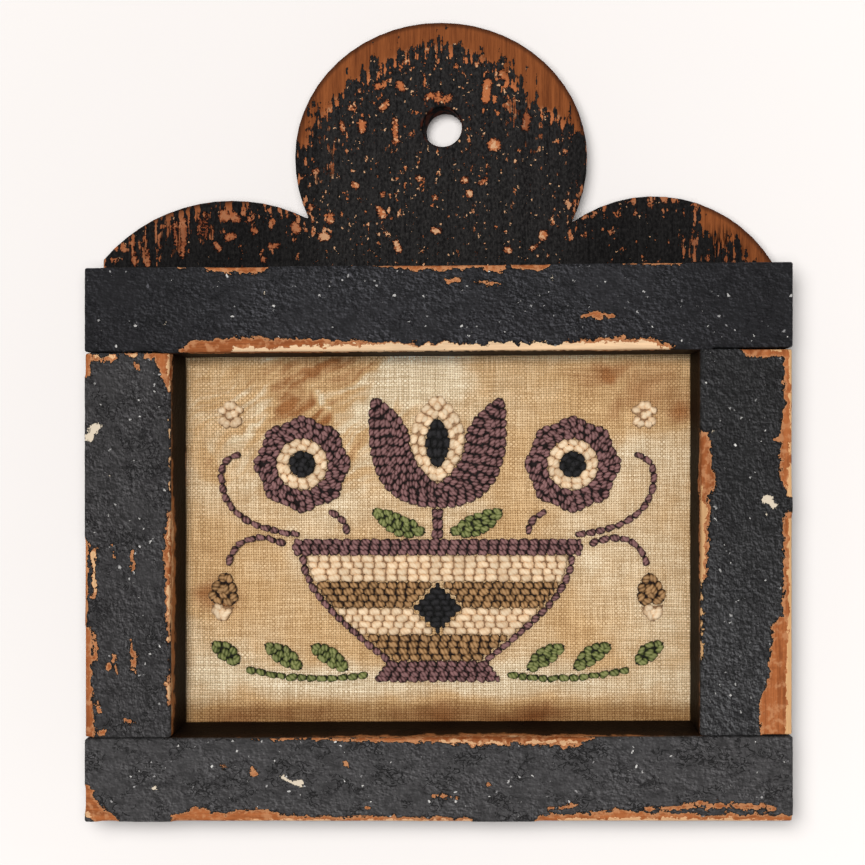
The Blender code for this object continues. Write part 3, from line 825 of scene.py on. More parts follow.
def makeBoard(finish, seed):
    plan = woodPlan
    cell = plan["boardCell"]
    low, high = boxOf("back_board")
    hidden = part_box("rail_top")[0].z / mm + 20  # below this the rails cover the board's front
    upright = evenCuts(low.z, hidden, plan["boardHiddenCell"]) + evenCuts(hidden, high.z, cell)
    cuts = (evenCuts(low.x, high.x, cell), evenCuts(low.y, high.y, cell), upright)
    piece, points, pairs, corners = cutBoard("back_board", cuts)
    outer = [c for c in corners if math.hypot(c.x, c.z) > 12]  # without the corners of the hole
    away, index = nearestOf(points, outer)
    corner = np.array([outer[i] for i in index])[:, [0, 2]]
    onCrest = softStep(points[:, 2], -64, -58)
    wear = np.where(onCrest > 0, rubbedRim(corner) - away, -60)
    wear = np.maximum(wear, wornEdgeChips(points, away, seed + 4) - onCrest * 4)
    hole = np.hypot(points[:, 0], points[:, 2])
    chips = strokeDepth(onFace(points), crestChips, 0.4, -6)
    values = {
        "rubbed": wear,
        "chip": np.where(points[:, 1] < low.y * 0.6, chips, -6),
        "edge": away,
        "streaks": softStep(strokeDepth(onFace(points), crestStreaks, 2.0, -40), -5, 3),
        "chipped": softStep(strokeDepth(onFace(points), crestChipped, 3.0, -40), -7, 4),
        "bore": softStep(plan["boreReach"] - hole, 0.0, 0.5),
    }
    weight = 0.15 + 0.85 * softStep(wear, -1.0, 1.5)
    points = drawIn(points, pairs, weight, plan["cornerPasses"] // 2)
    placePoints(piece, points)
    rise = lumps(points, 9, seed + 2) * plan["wobble"]
    points = points + outwards(piece) * rise[:, None]
    deep = np.clip(points[:, 1] / low.y, 0, 1)  # 1 at the front face
    points[:, 0] += plan["slant"] * (1 - deep) * (hole < plan["boreReach"])
    placePoints(piece, points)
    finishWood(piece, finish, "back_board", values)


# Finishes of the wood

# spread: how far the painted shade and light on the paint's lumps go, darkest and brightest, in times the
# paint's colour
railFinish = {
    "rail_top": {
        "paint": (48, 48, 51),
        "raw": (252, 214, 172),
        "ends": 0.5,
        "foot": 0.0,
        "spread": (0.25, 3.0),
        "level": True,
        "pebbles": 0.48,
        "creases": 0.35,
    },
    "rail_bottom": {
        "paint": (74, 73, 74),
        "raw": (232, 184, 138),
        "ends": 0.0,
        "foot": 0.0,
        "spread": (0.42, 2.0),
        "level": True,
        "pebbles": 0.40,
        "creases": 1.3,
    },
    "stile_left": {
        "paint": (64, 63, 64),
        "raw": (236, 190, 142),
        "ends": 0.0,
        "foot": 0.0,
        "spread": (0.36, 2.3),
        "level": False,
        "pebbles": 0.52,
        "creases": 0.75,
    },
    "stile_right": {
        "paint": (48, 48, 49),
        "raw": (228, 180, 128),
        "ends": 0.0,
        "foot": 1.0,
        "spread": (0.30, 2.6),
        "level": False,
        "pebbles": 0.70,
        "creases": 0.35,
    },
    "shared": {
        "colours": {
            "undercoat": (182, 108, 62),
            "undercoatDark": (140, 78, 42),
            "undercoatRim": (206, 148, 104),
            "cream": (226, 212, 190),
            "dotWhite": (236, 234, 230),
            "wallDeep": (22, 13, 8),
            "wallBrown": (42, 25, 14),
            "wallLip": (172, 112, 68),
        },
        # Shades of the charcoal coat, in times its own colour
        "tints": {"foot": 1.8, "grain": 0.55, "clouds": 0.4, "ends": 0.35, "rim": 0.12, "dots": 3.5},
        "chips": {"Spacing": 17.0, "Share": 0.4, "Largest": 1.1, "Torn": 3.4},
        "dots": {"Spacing": 1.7, "Largest": 0.55, "Torn": 2.4},
        "dotShare": (0.04, 0.60),
        "pebbleSize": 2.3,
        "pebbleRelief": 0.30,
        "paintThickness": 0.25,
        "grainRelief": 0.06,
        "roughness": (0.6, 0.75),
        "sheen": 0.05,
    },
}
crestFinish = {
    "colours": {
        "paint": (18, 17, 18),
        "paintLight": (41, 40, 40),
        "paintPale": (56, 54, 53),
        "paintDark": (8, 7, 7),
        "paintAside": (10, 9, 9),
        "paintRim": (8, 6, 6),
        "undercoat": (152, 87, 47),
        "undercoatDark": (104, 55, 29),
        "rimBrown": (58, 32, 20),
        "chipOrange": (186, 111, 68),
        "chipBrown": (112, 58, 38),
        "chipTan": (214, 168, 128),
        "boreBrown": (84, 38, 24),
    },
    "shoulders": (36.0, 56.0),  # mm from the middle to where the shoulders' own looks begin and are full
    "levels": {"rubbed": 0.28, "border": 0.555, "chipped": 0.624, "whole": 0.648},
    "speckLevels": (0.692, 0.735),  # on the lobe and on the shoulders
    "grainRelief": 0.12,
    "paintThickness": 0.18,
    "roughness": 0.7,
    "sheen": 0.03,
}


def brighter(colour, factor):
    return tuple(min(1.0, value * factor) for value in colour[:3]) + (1.0,)


def charcoalCoat(tree, plan, tints, grain, pebbles, uneven):
    across, _, height = parts(millimetres(tree))
    foot = step(height, -190.0, -120.0, plan["foot"], 0.0)
    coat = mixed(foot, paint(*plan["paint"]), tints["foot"])
    # painted light and shade on the paint's lumps, from darkest to brightest times the coat
    darkest, brightest = plan["spread"]
    lumpShade = step(pebbles["Tone"], 0.5, 1.0, 1.0, brightest)
    lumpShade = calc("MULTIPLY", lumpShade, step(pebbles["Tone"], 0.0, 0.5, darkest, 1.0))
    coat = shaded(coat, lumpShade)
    coat = mixed(step(grain["Tone"], 0.36, 0.66, 0.0, 0.4), coat, tints["grain"])
    coat = mixed(step(uneven, 0.36, 0.54, 0.6, 0.0), coat, tints["clouds"])
    ends = step(calc("ABSOLUTE", across), 60.0, 100.0, 0.0, plan["ends"])
    return mixed(ends, coat, tints["ends"])


def orangeCoat(tones, streak, blotches, depth):  # palest right at the torn rim of the paint
    dark, rim = tones["undercoatDark"], tones["undercoatRim"]
    under = mixed(streak, dark, tones["undercoat"])
    under = mixed(step(blotches, 0.48, 0.64, 0.0, 0.6), under, rim)
    under = mixed(step(blotches, 0.30, 0.44, 0.6, 0.0), under, dark)
    return mixed(step(depth, 0.1, 0.9, 0.7, 0.0), under, rim)


def windowWall(tree, tones, uneven, rawWood):  # near black deep in the window, browner nearer its front, worn to orange and tan at its front edge
    lip = ruffled(painted(tree, "lip"), uneven, 6.0)
    wall = mixed(step(lip, -6.0, 0.0), tones["wallDeep"], tones["wallBrown"])
    wall = mixed(step(lip, -0.8, 1.2), wall, tones["wallLip"])
    return mixed(step(lip, 2.0, 3.6, 0.0, 0.8), wall, rawWood)


def railPaint(node):  # charcoal over an orange-brown coat over raw wood
    plan, shared = railFinish[node], railFinish["shared"]
    dark, rawWood, tones = paint(*plan["paint"]), paint(*plan["raw"]), tonesOf(shared["colours"])
    tints = {name: brighter(dark, factor) for name, factor in shared["tints"].items()}
    material, tree, shader = newMaterial("wornPaint_" + node)
    place = millimetres(tree, (0, 90, 0) if plan["level"] else (0, 0, 0))
    brushed = stretched(millimetres(tree), (0.85, 1.0, 1.1) if plan["level"] else (1.05, 1.0, 0.95))
    grain = useGroup(tree, woodGrain, {"Coordinates": place, "Fineness": 1.0})
    lumpy = {"Size": shared["pebbleSize"], "Amount": plan["pebbles"], "Creases": plan["creases"]}
    pebbles = useGroup(tree, pebbledPaint, {"Coordinates": brushed, **lumpy})
    edge = {"Coordinates": place, "Ragged": 5.0, "Fineness": 0.7, "Grain": 1.5}
    depths = [{**edge, "Depth": painted(tree, name)} for name in ("wear", "raw", "cream")]
    worn, raw, cream = (useGroup(tree, raggedEdge, values) for values in depths)
    chips = useGroup(tree, scatteredChips, {"Coordinates": place, **shared["chips"]})
    dotShare = step(pebbles["Clusters"], 0.0, 1.0, *shared["dotShare"])
    dots = useGroup(tree, scatteredChips, {"Coordinates": place, **shared["dots"], "Share": dotShare})
    streak = step(grain["Tone"], 0.36, 0.62)
    uneven = cloudy(brushed, 0.30, 4.0, 0.62)
    colour = charcoalCoat(tree, plan, tints, grain, pebbles, uneven)
    colour = mixed(step(worn["Inside"], -0.6, -0.05, 0.0, 0.9), colour, tints["rim"])
    dotColour = mixed(calc("POWER", dots["Tone"], 3.0), tints["dots"], tones["dotWhite"])
    colour = mixed(dots["Mask"], colour, dotColour)
    colour = mixed(painted(tree, "inner"), colour, windowWall(tree, tones, uneven, rawWood))
    under = orangeCoat(tones, streak, cloudy(place, 0.35, 3.0, 0.6), worn["Inside"])
    colour = mixed(chips["Mask"], colour, mixed(chips["Tone"], under, tones["cream"]))
    colour = mixed(worn["Mask"], colour, under)
    bare = mixed(streak, brighter(rawWood, 0.78), rawWood)
    bare = mixed(step(raw["Inside"], 0.05, 0.4, 0.5, 0.0), bare, brighter(rawWood, 1.15))
    colour = mixed(calc("MULTIPLY", raw["Mask"], worn["Mask"]), colour, bare)
    lost = calc("MAXIMUM", calc("MAXIMUM", worn["Mask"], cream["Mask"]), chips["Mask"])
    kept = calc("SUBTRACT", 1.0, lost)
    normal = addBump(calc("MULTIPLY", pebbles["Height"], kept), shared["pebbleRelief"])
    normal = addBump(kept, shared["paintThickness"], normal)
    values = {
        "Base Color": mixed(cream["Mask"], colour, tones["cream"]),
        "Roughness": step(lost, 0.0, 1.0, *shared["roughness"]),
        "Specular IOR Level": shared["sheen"],
        "Normal": addBump(grain["Height"], shared["grainRelief"], normal),
    }
    dress(shader, values)
    return material


def crestLoss(tree, place, levels):  # where the paint is gone, and how far inside such a place
    depth, streaks = painted(tree, "rubbed"), painted(tree, "streaks")
    islands = cloudy(stretched(place, (1.0, 0.8, 0.76)), 0.40, 6.0, 0.66)
    lines = cloudy(stretched(place, (1.0, 0.7, 0.11)), 0.55, 3.0, 0.6)
    fringe = step(calc("ABSOLUTE", calc("ADD", depth, 1.0)), 3.0, 9.0, 1.0, 0.0)
    combed = calc("MAXIMUM", streaks, calc("MULTIPLY", fringe, 0.8))
    loss = ruffled(islands, lines, step(combed, 0.0, 1.0, 0.3, 1.3))
    level = step(painted(tree, "chipped"), 0.0, 1.0, levels["whole"], levels["chipped"])
    level = mixedValue(step(streaks, 0.0, 1.0, 0.0, 0.6), level, levels["border"])
    level = mixedValue(step(depth, -18.0, -3.5), level, levels["border"])
    level = mixedValue(step(depth, -4.5, 3.5), level, levels["rubbed"])
    inside = calc("SUBTRACT", loss, level)
    brushed = cloudy(stretched(place, (1.0, 0.7, 0.08)), 1.4, 2.0, 0.6)
    filled = calc("MULTIPLY", streaks, step(brushed, 0.46, 0.54))  # paint left in the grain
    lost = calc("SUBTRACT", step(inside, -0.004, 0.004), filled)
    torn = calc("SUBTRACT", cloudy(place, 1.1, 4.0, 0.65), 0.42)
    chip = calc("MULTIPLY_ADD", torn, 3.8, painted(tree, "chip"))
    lost = calc("MAXIMUM", lost, step(chip, -0.15, 0.05))
    return lost, calc("MAXIMUM", inside, calc("MULTIPLY", chip, 0.045))


def crestCoat(place, tones, streak, aside, inside):
    scuffs = cloudy(stretched(place, (1.0, 1.0, 0.6)), 1.1, 4.0, 0.72)
    coat = mixed(streak, tones["paint"], tones["paintLight"])
    coat = mixed(step(scuffs, 0.45, 0.68, 0.0, 0.9), coat, tones["paintPale"])
    coat = mixed(step(scuffs, 0.34, 0.48, 0.7, 0.0), coat, tones["paintDark"])
    coat = mixed(calc("MULTIPLY", aside, 0.45), coat, tones["paintAside"])
    return mixed(step(inside, -0.03, 0.0, 0.0, 0.8), coat, tones["paintRim"])


def crestUnder(tree, height, tones, tone, streak, aside, inside):  # brown rims, orange and tan chips
    under = mixed(streak, tones["undercoatDark"], tones["undercoat"])
    under = mixed(step(painted(tree, "edge"), 0.2, 2.2, 0.85, 0.0), under, tones["rimBrown"])
    tan = calc("SUBTRACT", tone, step(height, -20.0, 10.0, 0.0, 0.12))
    tan = calc("MULTIPLY", step(tan, 0.45, 0.54), step(aside, 0.0, 1.0, 1.0, 0.3))
    tan = calc("MULTIPLY", tan, step(inside, 0.01, 0.03))
    chip = mixed(step(inside, 0.0, 0.025), tones["chipBrown"], tones["chipOrange"])
    chip = mixed(tan, chip, tones["chipTan"])
    browned = calc("MAXIMUM", painted(tree, "streaks"), calc("MULTIPLY", aside, 0.6))
    chip = mixed(calc("MULTIPLY", browned, 0.65), chip, tones["chipBrown"])
    return mixed(step(painted(tree, "rubbed"), -6.0, -1.0), chip, under)


def crestPaint():  # paint is lost wherever the noise passes a level that falls towards the rim
    plan = crestFinish
    tones = tonesOf(plan["colours"])
    material, tree, shader = newMaterial("streakedPaint")
    place = millimetres(tree)
    across, _, height = parts(place)
    aside = step(calc("ABSOLUTE", across), *plan["shoulders"])  # 1 on the shoulders
    grain = useGroup(tree, woodGrain, {"Coordinates": place, "Fineness": 1.3})
    streak = step(grain["Tone"], 0.3, 0.7)
    tone = cloudy(place, 0.55, 3.0, 0.6)
    lost, inside = crestLoss(tree, place, plan["levels"])
    specks = cloudy(stretched(place, (1.0, 1.0, 0.8)), 0.66, 2.5, 0.6)
    speck = calc("SUBTRACT", specks, step(aside, 0.0, 1.0, *plan["speckLevels"]))
    speckColour = mixed(step(tone, 0.25, 0.5), tones["chipBrown"], tones["chipTan"])
    colour = crestCoat(place, tones, streak, aside, inside)
    colour = mixed(step(speck, -0.004, 0.008), colour, speckColour)
    colour = mixed(lost, colour, crestUnder(tree, height, tones, tone, streak, aside, inside))
    boreTone = step(cloudy(place, 0.3, 2.0, 0.5), 0.45, 0.6)
    bore = mixed(boreTone, tones["paint"], tones["boreBrown"])
    normal = addBump(grain["Height"], plan["grainRelief"])
    normal = addBump(calc("SUBTRACT", 1.0, lost), plan["paintThickness"], normal)
    values = {
        "Base Color": mixed(painted(tree, "bore"), colour, bore),
        "Roughness": plan["roughness"],
        "Specular IOR Level": plan["sheen"],
        "Normal": normal,
    }
    dress(shader, values)
    return material


makeBoard(crestPaint(), 11)
for order, rail in enumerate(("rail_top", "rail_bottom", "stile_left", "stile_right")):
    makeRail(rail, railPaint(rail), 20 + 7 * order)


# Linen: a plain weave, each crossing a bump of the mesh, tea stained and slightly creased

linenPlan = {
    "pitch": 0.86,  # mm from thread to thread
    "relief": 0.05,
    "wander": 0.34,
    "sag": 0.22,
    "colours": ((250, 229, 194), (226, 186, 135), (168, 109, 61)),
    "creases": [
        [(-95, -108, 0.35), (-72, -108.5, 0.3), (-60, -104, 0.1)],
        [(-93, -112, 0.3), (-74, -109, 0.2)],
        [(50, -96, 0.2), (88, -88, 0.35)],
        [(52, -92, 0.15), (86, -84, 0.2)],
    ],
    "stains": [  # x, z, reach across, reach up, tilt in degrees, strength
        (-44, -87, 26, 7, 8, 0.50),
        (-50, -99, 11, 8, 30, 0.55),
        (-55, -97, 6, 3.5, -50, 0.30),
        (-42, -106, 16, 4, 52, 0.35),
        (-24, -96, 5, 18, -28, -0.45),
        (-8, -90, 20, 11, 0, -0.65),
        (-40, -98, 7, 1.6, -50, -0.45),
        (-78, -90, 22, 14, 0, 0.14),
        (-80, -168, 13, 8, 0, 0.36),
        (-84, -122, 4, 9, 20, 0.30),
        (78, -98, 22, 12, 15, 0.30),
        (84, -103, 7, 5, 20, 0.26),
        (58, -87, 20, 5, 6, 0.28),
        (60, -100, 3, 22, 8, 0.16),
        (72, -92, 26, 6, 40, 0.16),
        (64, -84, 20, 4, 30, 0.14),
        # a darker band along the bottom of the window
        (0, -213, 130, 9, 0, 0.38),
        (-60, -208, 30, 4, 3, 0.14),
        (30, -209, 26, 4, -2, 0.12),
        (0, -78, 120, 5, 0, 0.04),
        (66, -150, 30, 45, 0, -0.16),
        (0, -197, 100, 7, 0, -0.32),
        (-78, -194, 15, 12, 0, -0.22),
        (-20, -128, 60, 20, 0, -0.10),
    ],
    "stainBase": 0.40,
    "shadowPowers": (1.25, 1.6),  # shadows lose more green and blue than red
    "threadRelief": 0.24,
    "fibreRelief": 0.08,
}


def stainOf(points):
    x = points[:, 0] + lumps(points, 18, 61, 3) * 6 + lumps(points, 5, 64, 2) * 1.2
    z = points[:, 2] + lumps(points, 18, 62, 3) * 2.4 + lumps(points, 5, 65, 2) * 0.8
    amount = linenPlan["stainBase"] + lumps(points, 26, 63, 4) * 0.20
    for cx, cz, reachX, reachZ, tilt, strength in linenPlan["stains"]:
        c, d = math.cos(math.radians(tilt)), math.sin(math.radians(tilt))
        along, across = (x - cx) * c + (z - cz) * d, (z - cz) * c - (x - cx) * d
        away = np.hypot(along / reachX, across / reachZ)
        amount += strength * (1 - softStep(away, 0.3, 1.2))
    rays = np.stack([(1.3 * z - x) / 4, 0 * x, (x + z) / 30], axis=1)  # dye in folds that rise to the right
    away = np.hypot((x + 48) / 50, (z + 104) / 34)
    amount += lumps(rays, 1.0, 66, 3) * 0.42 * (1 - softStep(away, 0.4, 1.1))
    return np.clip(amount, 0, 1)


def foldHeight(points):  # how high the pressed creases stand, in mm
    height = np.zeros(len(points))
    for crease in linenPlan["creases"]:
        line = [(x, z, 1.0) for x, z, _ in crease]
        tallest = max(rise for _, _, rise in crease)
        inside = strokeDepth(onFace(points), [line], 0.6, -3)
        height += tallest * np.exp(-((1 - inside) / 1.1) ** 2)
    return height


def makeLinen(finish):
    plan = linenPlan
    low, high = boxOf("ground_cloth")
    across = round((high.x - low.x) / plan["pitch"])
    up = round((high.z - low.z) / plan["pitch"])
    i, j = np.meshgrid(np.arange(across + 1), np.arange(up + 1), indexing="ij")
    flat = np.stack([i.ravel() / across, np.zeros(i.size), j.ravel() / up], axis=1)
    points = flat * np.array((high.x - low.x, 0, high.z - low.z)) + np.array((low.x, clothFront, low.z))
    inner = np.minimum(flat[:, 0] * (1 - flat[:, 0]), flat[:, 2] * (1 - flat[:, 2])) * 40
    loose = np.clip(inner, 0, 1)  # 0 at the edges, which the frame holds
    stain = stainOf(points)
    shiftX = lumps(points, 14, 71, 2) * plan["wander"] * loose
    shiftZ = lumps(points, 14, 72, 2) * plan["wander"] * loose
    over = np.where((i + j).ravel() % 2 == 0, 1.0, -1.0)
    rise = plan["relief"] * over * (1 + 0.5 * lumps(points, 2.0, 73))
    sag = lumps(points, 30, 75, 2) * plan["sag"]
    points[:, 1] += 0.2 - rise - (foldHeight(points) + sag) * loose
    points[:, 0] += shiftX
    points[:, 2] += shiftZ
    index = i * (up + 1) + j
    corners = [index[:-1, :-1], index[1:, :-1], index[1:, 1:], index[:-1, 1:]]
    faces = np.stack([c.ravel() for c in corners], axis=1).tolist()
    linen = addPiece("linen", (points * mm).tolist(), faces, finish)
    counts = np.stack([i.ravel(), j.ravel(), np.zeros(i.size)], axis=1)
    finishPiece(linen, ["ground_cloth"], {"stain": stain, "thread": counts})
    print("linen woven:", len(faces), "faces")
    return linen, ((high.x - low.x) * mm, (high.z - low.z) * mm)


def makePlainWeave():  # one thread over, one under, from thread counts across and up
    inputs = {"Across": 0.0, "Up": 0.0}
    group, given, result = newGroup("plainWeave", inputs, ["Height", "Warp Up"])

    def threadHeight(count, along, odd):
        inside = calc("ABSOLUTE", calc("WRAP", count, 0.5, -0.5))
        bulge = calc("SUBTRACT", 1.0, calc("POWER", calc("MULTIPLY", inside, 2.0), 2.2))
        order = calc("ROUND", count)
        phase = calc("MULTIPLY", calc("ADD", calc("ADD", along, order), odd), math.pi)
        over = calc("COSINE", phase)
        return calc("MULTIPLY_ADD", over, 0.5, calc("MULTIPLY", bulge, 0.5))

    warp = threadHeight(given["Across"], given["Up"], 0.0)
    weft = threadHeight(given["Up"], given["Across"], 1.0)
    plug(result["Height"], calc("MAXIMUM", warp, weft))
    plug(result["Warp Up"], calc("GREATER_THAN", warp, weft))
    return group


def linenFinish():
    plan = linenPlan
    material, tree, shader = newMaterial("stainedLinen")
    across, up, _ = parts(painted(tree, "thread", "Vector"))
    weave = useGroup(tree, makePlainWeave(), {"Across": across, "Up": up})
    place = millimetres(tree)
    streakUp = cloudy(stretched(place, (1.0, 1.0, 0.06)), 1.1, 3.0, 0.65)
    streakAcross = cloudy(stretched(place, (0.06, 1.0, 1.0)), 1.1, 3.0, 0.65)
    streak = mixed(weave["Warp Up"], streakAcross, streakUp)
    fibres = cloudy(place, 4.0, 3.0, 0.7)
    amount = ruffled(painted(tree, "stain"), cloudy(place, 0.10, 5.0, 0.62, 0.5), 0.34)
    pale, mid, brown = (paint(*c) for c in plan["colours"])
    colour = mixed(step(amount, 0.0, 0.55), pale, mid)
    colour = mixed(step(amount, 0.5, 1.1), colour, brown)
    height = parts(place)[2]
    # painted shade: the gaps between the threads painted darker
    tint = step(weave["Height"], 0.14, 0.64, 0.24, 1.0)
    shades = (
        # painted shading of the crossings: darker where the warp is on top, lighter where the weft is
        step(weave["Warp Up"], 0.0, 1.0, 1.02, 0.96),
        step(streak, 0.32, 0.68, 0.72, 1.26),
        step(fibres, 0.3, 0.7, 0.82, 1.16),
        # painted shade: darker towards the bottom edge of the window
        step(height, -208.5, -202.5, 0.58, 1.0),
        step(height, -85.0, -82.0, 1.0, 1.4),  # painted light: brighter just under the top rail, lifting the shadow that the rail casts
    )
    for shade in shades:
        tint = calc("MULTIPLY", tint, shade)
    browner, brownest = (calc("POWER", tint, power) for power in plan["shadowPowers"])
    normal = addBump(weave["Height"], plan["threadRelief"])
    values = {
        "Base Color": shaded(colour, tint, browner, brownest),
        "Roughness": 0.92,
        "Specular IOR Level": 0.15,
        "Sheen Weight": 0.08,
        "Normal": addBump(fibres, plan["fibreRelief"], normal),
    }
    dress(shader, values)
    return material


linen, linenSize = makeLinen(linenFinish())


# Stitches: rows of short plump grains of thread, a puncture at each end

# For each thread: colours are the painted highlight on a grain's crown, the thread's own colour, and the
# painted shade in the pits; pits is where on a grain's height the painted shade gives way; cord is how
# strongly the plies are painted lighter and darker
stitchPlan = {
    "plum": {
        "length": 3.5,
        "pitch": 1.95,
        "lean": 6,
        "pits": (0.40, 0.90),
        "cord": 0.30,
        "colours": ((144, 104, 103), (88, 55, 54), (20, 4, 3)),
    },
    "cream": {
        "length": 4.0,
        "pitch": 2.27,
        "lean": 4,
        "pits": (0.16, 0.60),
        "cord": 0.12,
        "colours": ((252, 226, 190), (230, 196, 156), (126, 84, 46)),
    },
    "olive": {
        "length": 3.6,
        "pitch": 2.27,
        "lean": 8,
        "pits": (0.34, 0.86),
        "cord": 0.30,
        "colours": ((184, 142, 96), (130, 94, 54), (32, 12, 3)),
    },
    "green": {
        "length": 3.4,
        "pitch": 2.0,
        "lean": 8,
        "pits": (0.34, 0.86),
        "cord": 0.30,
        "colours": ((140, 144, 88), (88, 98, 42), (20, 22, 3)),
    },
    "black": {
        "length": 3.4,
        "pitch": 1.95,
        "lean": 4,
        "pits": (0.3, 0.8),
        "cord": 0.1,
        "colours": ((30, 29, 32), (14, 14, 15), (3, 3, 3)),
    },
    "around": 10,
    "sections": 9,
    "fullness": (0.60, 0.66),  # half width of a grain, in rows
    "flatness": 0.78,  # thickness of a grain for its width
    "sunk": 0.76,  # how deep a grain's middle lies under the pile's front, in half widths
    "overlap": 1.06,  # length of a grain for its stitch
    "plies": 0.14,
    "turns": 0.8,
    "turnLength": 3.5,  # mm of thread for these turns
    "rowNodes": ("bowl_band", "bowl_foot", "bowl_rim", "bowl_diamond"),
    "lineNodes": ("bowl_side", "rosette_stem", "bud_stem", "tendril", "sprig_stem"),
    "twinNodes": ("tulip_stem",),
}


def frontOutlines(node):  # closed outlines of a node's front, as arrays of x and z
    surface = weldedNode(node)
    surface.normal_update()
    front = {face for face in surface.faces if face.normal.y < -0.9}
    links = {}
    for edge in surface.edges:
        if sum(face in front for face in edge.link_faces) == 1:
            a, b = edge.verts
            links.setdefault(a, []).append(b)
            links.setdefault(b, []).append(a)
    outlines = []
    while links:
        start = min(links, key=lambda v: (v.co.x, v.co.z))
        walk = [start]
        before, here = start, links[start][0]
        while here is not start:
            walk.append(here)
            onwards = [v for v in links[here] if v is not before]
            before, here = here, onwards[0]
        for vert in walk:
            links.pop(vert)
        outlines.append(np.array([(v.co.x, v.co.z) for v in walk]) / mm)
    surface.free()
    return outlines


def squareTo(ahead):  # unit directions square to the given ones
    return np.stack([-ahead[:, 1], ahead[:, 0]], axis=1) / np.hypot(*ahead.T)[:, None]


def runAlong(path):  # distance from the path's start to each of its points
    return np.concatenate([[0], np.cumsum(np.hypot(*np.diff(path, axis=0).T))])


def alongLine(line, spacing, closed=False):  # the line again, with even points
    path = np.vstack([line, line[:1]]) if closed else np.asarray(line)
    lengths = runAlong(path)
    count = max(2, round(lengths[-1] / spacing))
    places = np.linspace(0, lengths[-1], count + 1)
    if closed:
        places = places[:-1]
    return np.stack([np.interp(places, lengths, path[:, k]) for k in range(2)], axis=1)


def borderOf(outlines):
    return np.vstack([alongLine(outline, 0.3, True) for outline in outlines])


def isInside(points, outlines):
    inside = np.zeros(len(points), bool)
    x, z = points[:, 0], points[:, 1]
    for outline in outlines:
        for (x0, z0), (x1, z1) in zip(outline, np.roll(outline, -1, axis=0)):
            if z0 != z1:
                crosses = ((z0 > z) != (z1 > z)) & (x < (x1 - x0) * (z - z0) / (z1 - z0) + x0)
                inside ^= crosses
    return inside


def nearest(points, others):
    return np.sqrt(((points[:, None] - others[None]) ** 2).sum(2)).min(1)


def openRuns(kept, depth):  # splits the points that are left of an outline wherever some are missing
    jumps = np.hypot(*(np.roll(kept, -1, axis=0) - kept).T)
    breaks = [i for i, jump in enumerate(jumps) if jump > max(1.2, 1.3 * depth)]
    if not breaks:
        return [(kept, True)]
    kept = np.roll(kept, -(breaks[0] + 1), axis=0)
    cuts = [0] + [(i - breaks[0]) % len(kept) or len(kept) for i in breaks[1:]] + [len(kept)]
    return [(kept[start:stop], False) for start, stop in zip(cuts, cuts[1:]) if stop - start >= 3]


def insetRuns(outlines, depth):  # lines that keep that distance from the outlines
    border = borderOf(outlines)
    runs = []
    for outline in outlines:
        line = alongLine(outline, 0.3, True)
        side = squareTo(np.roll(line, -1, axis=0) - np.roll(line, 1, axis=0))
        if not isInside(line[:1] + side[:1] * 0.15, outlines)[0]:
            side = -side
        moved = line + side * depth
        good = isInside(moved, outlines) & (nearest(moved, border) > depth * 0.965 - 0.02)
        if good.all():
            runs.append((moved, True))
        elif good.any():
            first = int(np.argmin(good))
            moved, good = np.roll(moved, -first, axis=0), np.roll(good, -first)
            runs += openRuns(moved[good], depth)
    return runs


def cornerPlaces(line, closed):  # where a run turns sharply
    reach = 3
    if closed:
        before, after = np.roll(line, reach, axis=0), np.roll(line, -reach, axis=0)
    else:
        before = line[np.maximum(np.arange(len(line)) - reach, 0)]
        after = line[np.minimum(np.arange(len(line)) + reach, len(line) - 1)]
    first, second = line - before, after - line
    cross = first[:, 0] * second[:, 1] - first[:, 1] * second[:, 0]
    turn = np.degrees(np.abs(np.arctan2(cross, (first * second).sum(1))))
    places = []
    for i in np.argsort(-turn):
        if turn[i] < 38:
            break
        if not closed and (i < reach or i > len(line) - 1 - reach):
            continue
        if all(min(abs(i - p), len(line) - abs(i - p)) > 2 * reach for p in places):
            places.append(int(i))
    return sorted(places)


def stitchesAlong(line, closed, length, chance):
    line = alongLine(line, 0.25, closed)
    marks = cornerPlaces(line, closed)
    if closed:
        first = marks[0] if marks else chance.randrange(len(line))
        line = np.roll(line, -first, axis=0)
        marks = [(m - first) % len(line) for m in marks[1:]]
        line = np.vstack([line, line[:1]])
    stops = [0] + marks + [len(line) - 1]
    stitches = []
    for start, stop in zip(stops, stops[1:]):
        run = (stop - start) * 0.25
        count = max(1, round(run / length))
        places = np.linspace(start, stop, count + 1)
        places[1:-1] += [chance.uniform(-0.5, 0.5) / 0.25 * 0.6 for _ in range(count - 1)]
        for a, b in zip(places, places[1:]):
            stitches.append((line[int(round(a))], line[int(round(b))]))
    return stitches


def contourStitches(outlines, plan, chance):  # rows that follow the shape, from its rim inwards
    pitch = plan["pitch"]
    placed = []

    def offer(stitches):
        for start, end in stitches:
            if np.hypot(*(end - start)) < 0.9:
                continue
            middle = (start + end) / 2
            if placed and segmentAway(middle[None], placed)[0] < 0.56 * pitch:
                continue
            placed.append((start, end))

    depth = pitch * 0.46
    while True:
        runs = insetRuns(outlines, depth)
        if not runs:
            break
        for line, closed in runs:
            if len(line) * 0.3 > 1.2:
                offer(stitchesAlong(line, closed, plan["length"], chance))
        depth += pitch
    fillVoids(outlines, placed, plan)
    return placed


def segmentAway(points, segments):
    starts = np.array([s for s, _ in segments])
    runs = np.array([e for _, e in segments]) - starts
    lengths = np.maximum((runs**2).sum(1), 1e-9)
    offset = points[:, None] - starts[None]
    share = np.clip((offset * runs[None]).sum(2) / lengths[None], 0, 1)
    return np.hypot(*np.moveaxis(offset - share[..., None] * runs[None], 2, 0)).min(1)


